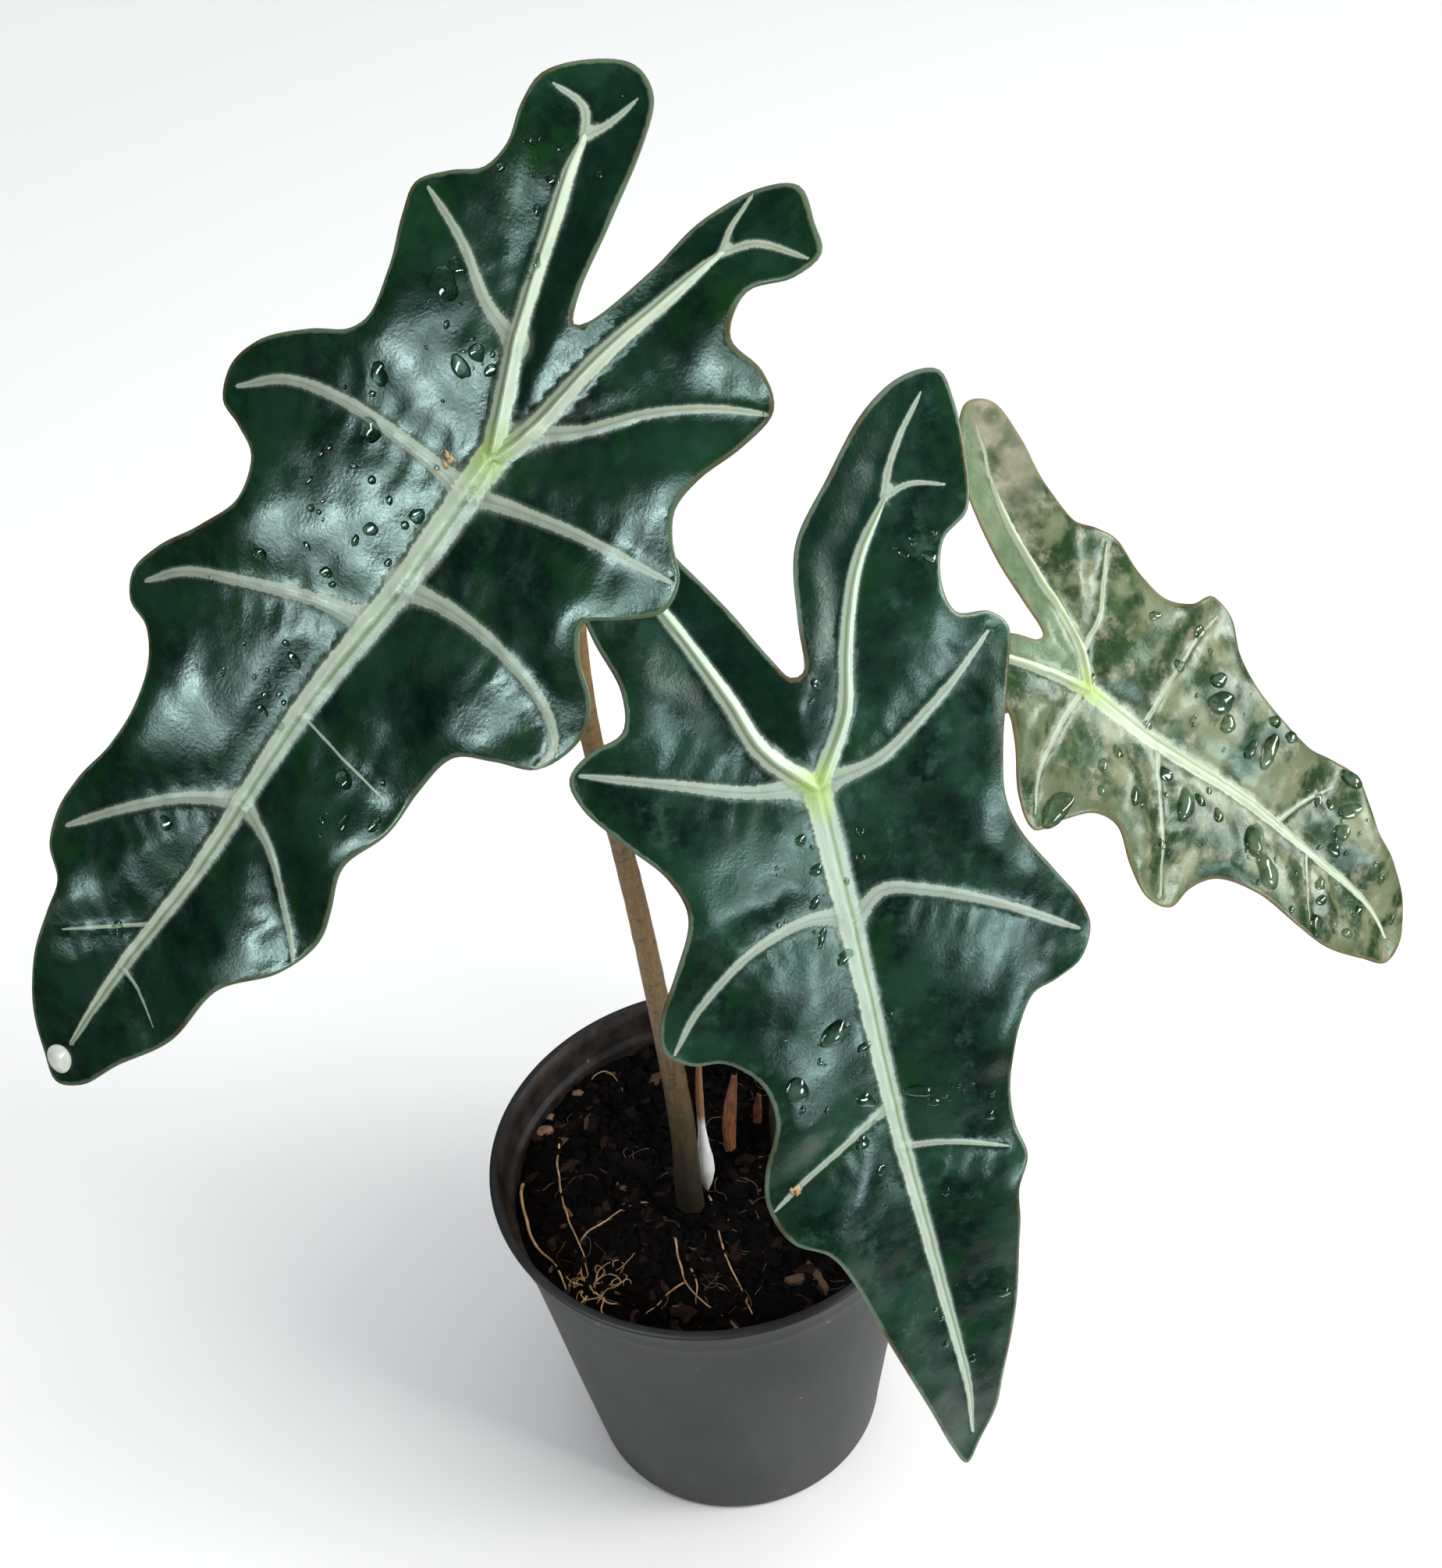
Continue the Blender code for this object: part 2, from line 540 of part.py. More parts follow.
def sheath(line, widths, curl, thickness, facing):
    """A thin papery strap along a line, curling about its length."""
    pts = smooth_run([Vector(p) * MM for p in line], 4 * MM)
    across = 5
    bm = bmesh.new()
    grid = []
    for i, p in enumerate(pts):
        t = i / (len(pts) - 1)
        k = t * (len(widths) - 1)
        lo = min(int(k), len(widths) - 2)
        width = widths[lo] + (widths[lo + 1] - widths[lo]) * (k - lo)
        ahead = (pts[min(i + 1, len(pts) - 1)] - pts[max(i - 1, 0)]).normalized()
        side = ahead.cross(Vector(facing)).normalized()
        out = side.cross(ahead)
        row = []
        for j in range(across):
            s = j / (across - 1) - 0.5
            angle = s * curl
            row.append(bm.verts.new(p + side * width * MM * math.sin(angle) / curl
                                    + out * width * MM * (math.cos(angle) - 1) / curl))
        grid.append(row)
    for a, b in zip(grid, grid[1:]):
        for j in range(across - 1):
            bm.faces.new((a[j], a[j + 1], b[j + 1], b[j]))
    mesh = bpy.data.meshes.new("sheath")
    bm.to_mesh(mesh)
    bm.free()
    obj = scratch("sheath", mesh)
    mod = obj.modifiers.new("Thick", "SOLIDIFY")
    mod.thickness = thickness
    mod.offset = 0
    result = evaluated(obj)
    bpy.data.objects.remove(obj, do_unlink=True)
    return result


def root_clump():
    """Short matted roots round a flat knot, grown together."""
    knot = scratch("knot", pebble(CLUMP_AT, CLUMP_HALF, 11.0))
    level = max(v.co.z for v in knot.data.vertices) - CLUMP_HALF[2] * MM
    for line in CLUMP_ROOTS:
        flat = smooth_run([Vector((CLUMP_AT[0] + dx, CLUMP_AT[1] + dy)) for dx, dy in line], 2.0)
        points = []
        radii = []
        for i, p in enumerate(flat):
            radius = ROOT_RADIUS * (1 - 0.5 * i / (len(flat) - 1))
            x, y = spread(p.x, p.y)
            height = on_soil(x, y, radius)
            points.append(Vector((x, y, max(height, level) if i < 2 else height)))
            radii.append(radius)
        knot = join_shapes(knot, scratch("strand", tube(points, radii, 8, 2)), "UNION")
    mesh = knot.data.copy()
    bpy.data.objects.remove(knot, do_unlink=True)
    return mesh


def dome(at, radius, extra):
    """The top of the corm, half sunk in the soil."""
    bm = bmesh.new()
    bmesh.ops.create_uvsphere(bm, u_segments=24, v_segments=12, radius=radius + extra)
    base_z = SOIL_LEVEL - 5.5 * MM
    for v in bm.verts:
        v.co = Vector((at[0] * MM + v.co.x, at[1] * MM + v.co.y * 0.9, base_z + v.co.z * 0.62))
    mesh = bpy.data.meshes.new("dome")
    bm.to_mesh(mesh)
    bm.free()
    return mesh


def main():
    clear_scene()
    collection = bpy.data.collections.new("Potted Alocasia")
    bpy.context.scene.collection.children.link(collection)

    plastic = new_material("pot_plastic", (0.045, 0.045, 0.05), 0.55)
    earth = new_material("soil_earth", (0.022, 0.014, 0.010), 0.95, 0.2)
    corm = new_material("corm_skin", (0.09, 0.055, 0.03), 0.8, 0.3)
    petiole_green = new_material("petiole_skin", (0.17, 0.12, 0.06), 0.45)
    blade_green = new_material("leaf_blade", (0.012, 0.045, 0.026), 0.28)
    pale_blade = new_material("young_leaf_blade", (0.05, 0.075, 0.045), 0.28)
    papery = new_material("dry_sheath", (0.36, 0.2, 0.1), 0.7, 0.3)
    pale_paper = new_material("pale_sheath", (0.8, 0.74, 0.64), 0.6, 0.3)
    root_skin = new_material("root_skin", (0.55, 0.4, 0.22), 0.7, 0.3)
    bark = new_material("bark_chip", (0.35, 0.2, 0.12), 0.8, 0.3)

    build_pot(plastic, collection)

    petioles = (("petiole_left", PETIOLE_LEFT, LEFT_LEAF), ("petiole_front", PETIOLE_FRONT, FRONT_LEAF),
                ("petiole_right", PETIOLE_RIGHT, RIGHT_LEAF))
    sockets = []
    corm_mesh = scratch("corm", dome(CORM_AT, CORM_RADIUS, 0.0))
    for name, table, leaf in petioles:
        points, radii = petiole_line(table, leaf)
        place(name, tube(points, radii, 12, 5), petiole_green, collection)
        wide = [r + GAP for r in radii]
        below = points[0] - (points[1] - points[0]).normalized() * GAP
        run = [below] + points[1:]
        sockets.append(tube(run[:3], wide[:3], 12, 5))
        corm_mesh = join_shapes(corm_mesh, scratch("socket", sockets[-1].copy()), "DIFFERENCE")
    mesh = corm_mesh.data.copy()
    bpy.data.objects.remove(corm_mesh, do_unlink=True)
    place("corm", mesh, corm, collection)
    build_soil(earth, collection, [dome(CORM_AT, CORM_RADIUS, GAP)] + sockets)

    build_leaf("leaf_left", LEFT_LEAF, blade_green, collection)
    build_leaf("leaf_front", FRONT_LEAF, blade_green, collection)
    build_leaf("leaf_right", RIGHT_LEAF, pale_blade, collection)

    for name, table in ROOTS.items():
        points, radii = root_line(table)
        place(name, tube(points, radii, 8, 2), root_skin, collection)
    place("root_clump", root_clump(), root_skin, collection)
    stalk_points = [Vector(p) * MM for p, _r in DRY_STALK]
    place("dry_stalk", tube(stalk_points, [r * MM for _p, r in DRY_STALK], 8, 2), pale_paper, collection)
    place("red_sheath", sheath(RED_SHEATH, RED_SHEATH_WIDTHS, 1.8, SHEATH_THICKNESS, (0.2, -1, 0.2)),
          papery, collection)
    place("back_sheath", sheath(BACK_SHEATH, BACK_SHEATH_WIDTHS, 1.2, SHEATH_THICKNESS, (-0.3, -1, 0)),
          papery, collection)
    for i, (name, (at, half)) in enumerate(CHIPS.items()):
        place(name, pebble(at, half, 5.0 * i), bark, collection)

    for obj in list(bpy.context.scene.collection.objects):
        bpy.data.objects.remove(obj, do_unlink=True)


main()
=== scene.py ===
"""Looks of the potted alocasia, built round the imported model.  Tables are in millimetres."""
import math

import bmesh
import bpy
import numpy as np
from mathutils import Matrix, Vector, geometry, noise


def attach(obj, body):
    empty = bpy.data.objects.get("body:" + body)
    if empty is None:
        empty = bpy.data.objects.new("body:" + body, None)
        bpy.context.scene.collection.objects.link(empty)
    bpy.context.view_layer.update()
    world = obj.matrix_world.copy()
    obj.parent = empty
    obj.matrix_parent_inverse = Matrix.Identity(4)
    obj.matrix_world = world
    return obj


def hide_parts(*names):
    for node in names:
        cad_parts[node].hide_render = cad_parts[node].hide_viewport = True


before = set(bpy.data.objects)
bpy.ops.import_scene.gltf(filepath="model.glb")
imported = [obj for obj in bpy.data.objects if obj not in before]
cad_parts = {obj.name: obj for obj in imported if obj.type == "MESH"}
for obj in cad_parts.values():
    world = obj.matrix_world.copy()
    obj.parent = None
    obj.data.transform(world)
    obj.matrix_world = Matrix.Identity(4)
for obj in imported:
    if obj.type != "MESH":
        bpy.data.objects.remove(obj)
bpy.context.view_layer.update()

MM = 0.001

# ------------------------------------------------------------------ the leaves' own tables

FOLD = 0.22
FOLD_SOFTNESS = 6.0
DROOP = 0.0035
ARCH = 0.00035
RECURVE = 0.0018
WAVE = 2.4
WAVE_REACH = 10.0
BLADE = 0.55                      # thickness of the visible blade

# A vein is (points, half-width where it leaves the rib, half-width at its end).
LEFT_LEAF = {
    "junction": (-24.3, -32.0, 351.6), "heading": -73.4, "dip": 47.8, "turn": -36.0,
    "midrib": ((0, 0), (-1, -32), (-4, -62), (-5, -110), (-8, -140), (-10, -167)),
    "left_rib": ((0, 0), (-8, 18), (-14, 33), (-20, 48), (-23, 56)),
    "right_rib": ((0, 0), (3, 8), (7, 31), (10, 46), (12, 56)),
    "rib_widths": ((3.3, 1.1), (2.5, 1.2), (2.3, 1.1)),
    "veins": (
        (((-4, -42), (-14, -45), (-28, -52), (-41, -60), (-49, -69)), 1.6, 0.8),
        (((-1, -8), (-14, -8), (-31, -10), (-44, -15), (-54, -24)), 1.6, 0.8),
        (((-5, -90), (-16, -99), (-26, -111), (-36, -125)), 1.4, 0.8),
        (((-8, -128), (-16, -136), (-23, -143)), 0.45, 0.25),
        (((-9, 20), (-18, 22), (-30, 28), (-42, 31)), 1.4, 0.6),
        (((-23, 56), (-27, 60), (-34, 60)), 1.0, 0.4),
        (((-23, 56), (-21, 61), (-20, 67)), 1.0, 0.4),
        (((12, 56), (10, 60), (9, 67)), 0.7, 0.3),
        (((12, 56), (16, 61), (26, 65)), 0.9, 0.4),
        (((4, 9), (12, 16), (21, 27), (30, 35), (38, 40)), 1.3, 0.6),
        (((0, -8), (12, -3), (26, 2), (43, 6)), 1.5, 0.7),
        (((-1, -31), (12, -27), (27, -26), (38, -29), (43, -34), (43, -40)), 1.7, 0.9),
        (((-4, -66), (8, -66), (21, -66)), 0.3, 0.2),
        (((-4, -90), (7, -93), (17, -101), (26, -110)), 1.3, 0.5),
        (((-8, -141), (-1, -142), (6, -145)), 0.5, 0.2),
    ),
    "margin": (
        ((1, 32), (4, 46), (5, 58), (9, 68), (15, 73), (22, 70), (27, 67), (26, 61), (21, 54)),
        ((24, 46), (32, 45), (38, 41), (38, 33), (36, 24), (36, 17)),
        ((39, 12), (44, 7), (45, 1), (40, -5), (35, -10)),
        ((38, -16), (44, -22), (46, -29), (43, -39), (36, -43), (29, -48)),
        ((26, -60), (26, -71), (23, -82)),
        ((25, -92), (26, -101), (23, -112), (15, -124)),
        ((11, -144), (3, -160), (-3, -173), (-9, -178), (-15, -174), (-21, -167), (-26, -155),
         (-28, -142)),
        ((-30, -135), (-37, -131), (-40, -124), (-39, -114), (-35, -101), (-34, -90)),
        ((-37, -81), (-43, -76), (-50, -75), (-53, -70), (-50, -61), (-43, -50), (-38, -39)),
        ((-41, -31), (-48, -29), (-55, -28), (-58, -22), (-55, -14), (-45, -4), (-37, 2), (-35, 7)),
        ((-38, 16), (-43, 24), (-45, 30), (-40, 36), (-34, 41), (-33, 47)),
        ((-36, 54), (-37, 60), (-32, 67), (-25, 71), (-18, 69), (-13, 61), (-8, 47), (-4, 35),
         (-1, 30)),
    ),
}
FRONT_LEAF = {
    "junction": (31.7, -46.0, 274.9), "heading": 24.1, "dip": 71.5, "turn": 3.0,
    "midrib": ((0, 0), (1, -37), (2, -82), (5, -127), (8, -168), (8, -184)),
    "left_rib": ((0, 0), (-10, 13), (-14, 25), (-21, 44), (-26, 56)),
    "right_rib": ((0, 0), (9, 14), (13, 28), (20, 43), (29, 53)),
    "rib_widths": ((3.0, 0.9), (2.4, 1.0), (2.3, 0.9)),
    "veins": (
        (((-3, 2), (-14, 5), (-30, 13), (-47, 21)), 1.6, 0.7),
        (((1, -30), (-10, -27), (-24, -29), (-36, -37), (-43, -46)), 1.6, 0.7),
        (((2, -79), (-10, -83), (-20, -87), (-30, -93)), 1.1, 0.6),
        (((-26, 56), (-31, 58), (-35, 56)), 0.8, 0.4),
        (((-26, 56), (-25, 60), (-24, 62)), 0.6, 0.3),
        (((29, 53), (33, 60), (43, 70)), 0.9, 0.4),
        (((29, 53), (35, 54), (42, 52)), 0.7, 0.3),
        (((3, 1), (14, 2), (27, 9), (44, 20)), 1.5, 0.7),
        (((1, -33), (9, -27), (20, -31), (36, -41), (54, -56)), 1.6, 0.7),
        (((2, -91), (12, -94), (27, -102)), 0.9, 0.4),
    ),
    "margin": (
        ((2, 26), (4, 36), (8, 50), (18, 60), (30, 70), (41, 74), (48, 73), (49, 67), (48, 57),
         (45, 46), (38, 42), (35, 34)),
        ((37, 27), (45, 24), (49, 19), (46, 9), (41, -4), (39, -14)),
        ((41, -23), (49, -38), (55, -49), (57, -57), (53, -63), (45, -64), (38, -64), (33, -70)),
        ((30, -82), (30, -98), (31, -106), (27, -113)),
        ((26, -124), (23, -146), (17, -168), (14, -180), (9, -189), (5, -193), (2, -186),
         (-3, -168), (-10, -143), (-16, -120), (-21, -108)),
        ((-28, -102), (-31, -92), (-30, -81), (-26, -68)),
        ((-27, -59), (-33, -52), (-40, -50), (-45, -44), (-44, -36), (-39, -26), (-34, -14)),
        ((-36, -5), (-42, 4), (-48, 14), (-49, 21), (-44, 25), (-37, 27), (-35, 35)),
        ((-37, 46), (-37, 53), (-33, 59), (-26, 62), (-19, 60), (-15, 53), (-9, 42), (-4, 31),
         (-1, 26)),
    ),
}
RIGHT_LEAF = {
    "junction": (102.5, 25.0, 235.5), "heading": 82.3, "dip": 48.3, "turn": 36.0,
    "midrib": ((0, 0), (2, -25), (7, -56), (9, -85), (10, -116), (8, -126)),
    "left_rib": ((0, 0), (-4, 13), (-11, 32), (-16, 45)),
    "right_rib": ((0, 0), (6, 7), (15, 29), (21, 41), (28, 49)),
    "rib_widths": ((2.3, 0.7), (1.7, 0.6), (1.8, 0.6)),
    "veins": (
        (((7, 7), (17, 8), (26, 12), (33, 15)), 0.8, 0.4),
        (((2, -19), (14, -19), (28, -20), (40, -24)), 0.8, 0.3),
        (((9, -71), (17, -75), (28, -83)), 0.6, 0.3),
        (((-1, 2), (-14, 4), (-25, 3), (-34, -2)), 0.9, 0.4),
        (((2, -25), (-8, -31), (-19, -39), (-29, -46)), 0.8, 0.4),
        (((9, -84), (0, -88), (-8, -92)), 0.5, 0.2),
        (((28, 49), (33, 53), (37, 58)), 0.5, 0.2),
    ),
    "margin": (
        ((2, 20), (6, 28), (12, 40), (21, 52), (32, 60), (40, 63), (44, 58), (41, 48), (34, 37),
         (31, 27)),
        ((34, 20), (36, 13), (32, 3), (31, -5)),
        ((36, -14), (43, -20), (43, -29), (36, -36), (31, -46), (29, -58)),
        ((30, -68), (34, -80), (35, -89), (30, -96), (26, -102)),
        ((24, -112), (19, -125), (11, -132), (3, -130), (-3, -118), (-9, -102), (-11, -88)),
        ((-11, -73), (-15, -60), (-22, -54), (-29, -51), (-32, -42), (-29, -31), (-24, -22)),
        ((-25, -15), (-31, -9), (-37, -4), (-33, 5), (-24, 14), (-19, 21)),
        ((-22, 31), (-25, 42), (-21, 51), (-15, 53), (-9, 46), (-6, 34), (-2, 26), (0, 21)),
    ),
}

# Water beads on each blade: (across, along, size); the finer spray between them is scattered.
LEFT_DROPS = (
    (-30, 51, 1.5), (-22, 47, 1.2), (-27, 20, 2.8), (-27, 24, 1.5), (-14, 14, 1.6), (-15, 10, 1.8),
    (-10, 13, 1.2), (-15, 34, 1.2), (-15, 31, 0.9), (-27, 16, 0.4), (-23, -11, 2.3), (-6, -18, 1.5),
    (-12, -26, 1.4), (-27, -1, 2), (-11, -58, 1.3), (-11, -71, 1), (-6, -71, 0.9), (-16, -106, 1.5),
    (-35, -57, 0.8), (12, -69, 1.9), (18, -75, 1.2), (23, -71, 1.2), (-13, -134, 1.5), (-24, 55, 0.7),
    (-23, 66, 0.6), (-31, 43, 1), (-8, -8, 0.6), (-28, -45, 1.4), (-15, -39, 1.2), (-12, -19, 0.8),
    (-7, -21, 0.9),
)
FRONT_DROPS = (
    (34, 40, 1.3), (29, 42, 0.9), (4, 23, 1.1), (2, 20, 0.8), (-4, -17, 1.5), (6, -18, 1), (7, -12, 1),
    (-6, -32, 1.3), (-2, -39, 1.7), (5, -57, 1), (-8, -55, 3), (-2, -62, 1.4), (-20, -63, 2.7),
    (-4, -75, 2.1), (8, -78, 2.1), (11, -82, 1.2), (24, -92, 1.4), (-7, -85, 1.7), (-4, -94, 1.4),
    (10, -107, 1.1), (20, -142, 1.5), (4, -143, 0.9), (4, -151, 1), (10, -159, 1), (-6, -9, 1.3),
    (-6, -24, 1.3), (-3, -82, 1), (2, -22, 0.8),
)
RIGHT_DROPS = (
    (32, -20, 2), (30, -26, 1), (21, -19, 1.6), (25, -31, 2.2), (21, -35, 3.2), (18, -40, 2.4),
    (17, -50, 1.8), (20, -55, 3.1), (27, -52, 1.8), (27, -59, 1.8), (-14, -11, 1.5), (-8, -14, 1.7),
    (-15, -23, 2.3), (-20, -13, 1.1), (-3, -31, 2), (-6, -40, 3.4), (-2, -44, 1.6), (-2, -51, 1.8),
    (2, -46, 1), (-30, -6, 3.6), (0, -65, 3.9), (-5, -72, 3.7), (4, -92, 1.9), (0, -94, 1.5), (-9, -84, 1),
    (-7, -95, 2.7), (-2, -107, 1.7), (7, -110, 1.5), (22, -80, 1.5), (23, -84, 1.3), (19, -91, 2.3),
    (14, -92, 1.7), (33, -87, 2.6), (25, -90, 2.6), (17, -107, 2.2), (17, -111, 1.3), (13, -125, 1.1),
    (-19, -42, 0.8), (-19, -38, 1.2), (25, -4, 1.4), (4, -20, 1.2), (3, 1, 1),
)
# Where the finer spray lies: (across, along, spread, how many)
LEFT_SPRAY = ((-16, 14, 14, 26), (-20, -24, 14, 22), (-24, 50, 9, 10), (-14, -66, 10, 14), (14, -72, 10, 8))
FRONT_SPRAY = ((-8, -24, 9, 14), (-6, -60, 12, 22), (14, -82, 10, 16), (4, -140, 9, 10), (32, 40, 6, 6))
RIGHT_SPRAY = ((20, -36, 10, 18), (-8, -30, 10, 20), (-4, -70, 10, 18), (20, -88, 10, 22), (4, -104, 9, 12))

PETIOLE_LEFT = (((-6.2, -6, 88), 3.9), ((-6.8, -8.2, 99), 3.7), ((-6.3, -10, 136), 3.25),
                ((-8.7, -10, 189), 2.8), ((-11.6, -10, 231), 2.5), ((-15.0, -10, 264), 2.4),
                ((-15.3, -11.5, 285), 2.4), ((-14.5, -16, 312), 2.4))
PETIOLE_FRONT = (((20, 8, 88), 4.2), ((20.5, 8, 99), 4.1), ((21, 9, 140), 3.4),
                 ((22, 6, 190), 2.9), ((23, -5, 235), 2.6))
PETIOLE_RIGHT = (((25, 20, 88), 3.5), ((26, 21, 99), 3.4), ((31, 28, 145), 2.8),
                 ((46, 36, 188), 2.4), ((68, 42, 213), 2.2))
PETIOLE_KNEE = 13.0

# The pot and its soil
POT_HEIGHT, POT_RIM, POT_BASE = 110, 60, 42
LIP, BAND, WALL = 1.0, 1.2, 1.4          # how far the lip and the band stand out, and the wall's thickness
POT_FLOOR = 2.0
DRAINS, DRAIN_CIRCLE, DRAIN_RADIUS = 8, 31, 3.6
SOIL_LEVEL = 97
SOIL_GAP = 0.15
SOIL_FOOT = 2.3
CRUMBS, LARGE_CRUMBS = 2600, 261
TANGLE, FIBRES = 26, 95

# Surface roots: (points, radius at the thick end)
ROOTS = (
    (((-53, 6), (-52.6, -2), (-51, -10), (-48.5, -17), (-44.5, -22), (-42.5, -26), (-41.2, -31)), 0.75),
    (((-42.5, 19), (-42.7, 9.5), (-41.9, 0), (-39.9, -9.5), (-37.5, -17), (-35.8, -24), (-35, -29)), 0.5),
    (((-37.3, -17), (-32.6, -12.3), (-28, -9.4), (-23.5, -7), (-18.2, -6.6)), 0.42),
    (((-11.4, -19.5), (-11.1, -24), (-10.4, -30), (-9.2, -34.4), (-6.6, -38.9), (-3.4, -42.5), (0, -45)),
     0.5),
    (((-8, -29.5), (-6.8, -33), (-6.4, -37), (-6.8, -40.5)), 0.42),
    (((-9.3, -34.2), (-13.8, -36.3), (-17.9, -40.3), (-20.6, -41.7)), 0.45),
    (((-1.6, -5.8), (-0.5, -13), (0.8, -22), (2.7, -31), (4.9, -37.8), (7.2, -44.6)), 0.5),
    (((-33, 41), (-29.5, 43), (-26.5, 40.5), (-24, 35)), 0.25),
    (((-34, -32), (-37, -28), (-36.5, -23)), 0.5), (((-34, -33), (-30, -37), (-26.5, -38)), 0.45),
    (((-34, -31), (-30, -28.5), (-27, -29.5)), 0.4), (((-35, -33), (-37.5, -37), (-36, -40)), 0.4),
    (((-33, -31), (-32, -27), (-29, -24.5)), 0.4), (((-36, -31), (-39, -30), (-41, -27)), 0.35),
    (((-31, -35), (-32, -39), (-29, -42)), 0.35),
)
CHIPS = (((-46.2, 22.4), (2.5, 1.9, 1.4)), ((-44.6, 28.6), (1.5, 1.1, 0.8)), ((-37.0, 35.5), (1.6, 1.2, 0.9)))


# ------------------------------------------------------------------ shader graph helper

class Graph:
    """Builds a material's node graph with short calls."""

    def __init__(self, name):
        self.mat = bpy.data.materials.new(name)
        self.mat.use_nodes = True
        self.tree = self.mat.node_tree
        self.shader = self.tree.nodes["Principled BSDF"]
        self.coords = self.tree.nodes.new("ShaderNodeTexCoord").outputs["Object"]

    def put(self, socket, value):
        if isinstance(value, bpy.types.NodeSocket):
            self.tree.links.new(value, socket)
        elif hasattr(socket.default_value, "__len__") and len(socket.default_value) == 4:
            socket.default_value = (*value, 1.0) if len(value) == 3 else value
        else:
            socket.default_value = value

    def math(self, operation, a, b=0.0, c=0.0):
        node = self.tree.nodes.new("ShaderNodeMath")
        node.operation = operation
        for socket, value in zip(node.inputs, (a, b, c)):
            self.put(socket, value)
        return node.outputs[0]

    def times(self, a, b):
        return self.math("MULTIPLY", a, b)

    def plus(self, a, b):
        return self.math("ADD", a, b)

    def scaled(self, value, by, shift):
        return self.math("MULTIPLY_ADD", value, by, shift)

    def step(self, value, low, high):
        """0 below low, 1 above high, smooth between; low may be the larger."""
        node = self.tree.nodes.new("ShaderNodeMapRange")
        node.interpolation_type = "SMOOTHSTEP"
        self.put(node.inputs["Value"], value)
        if low < high:
            ends = (low, high, 0.0, 1.0)
        else:
            ends = (high, low, 1.0, 0.0)
        for name, end in zip(("From Min", "From Max", "To Min", "To Max"), ends):
            node.inputs[name].default_value = end
        return node.outputs["Result"]

    def mix(self, factor, a, b):
        node = self.tree.nodes.new("ShaderNodeMix")
        node.data_type = "RGBA"
        self.put(node.inputs[0], factor)
        self.put(node.inputs[6], a)
        self.put(node.inputs[7], b)
        return node.outputs[2]

    def layer(self, under, over, mask, strength):
        """One tone laid over another where the mask is."""
        return self.mix(self.times(mask, strength), under, over)

    def noise(self, vector, scale, detail=3.0, rough=0.5, stretch=None):
        if stretch:
            mapping = self.tree.nodes.new("ShaderNodeMapping")
            mapping.inputs["Scale"].default_value = stretch
            self.put(mapping.inputs["Vector"], vector)
            vector = mapping.outputs[0]
        node = self.tree.nodes.new("ShaderNodeTexNoise")
        self.put(node.inputs["Vector"], vector)
        node.inputs["Scale"].default_value = scale
        node.inputs["Detail"].default_value = detail
        node.inputs["Roughness"].default_value = rough
        return node.outputs["Fac"]

    def cells(self, vector, scale):
        node = self.tree.nodes.new("ShaderNodeTexVoronoi")
        self.put(node.inputs["Vector"], vector)
        node.inputs["Scale"].default_value = scale
        return node.outputs["Distance"]

    def value(self, name):
        node = self.tree.nodes.new("ShaderNodeAttribute")
        node.attribute_name = name
        return node.outputs["Fac"]

    def vector(self, x, y, z=0.0):
        node = self.tree.nodes.new("ShaderNodeCombineXYZ")
        for socket, v in zip(node.inputs, (x, y, z)):
            self.put(socket, v)
        return node.outputs[0]

    def bump(self, height, strength, distance):
        node = self.tree.nodes.new("ShaderNodeBump")
        node.inputs["Strength"].default_value = strength
        node.inputs["Distance"].default_value = distance
        self.put(node.inputs["Height"], height)
        return node.outputs[0]

    def finish(self, **sockets):
        for name, value in sockets.items():
            self.put(self.shader.inputs[name.replace("_", " ")], value)
        return self.mat


# ------------------------------------------------------------------ materials

def shade(colour, by):
    return tuple(c * by for c in colour)


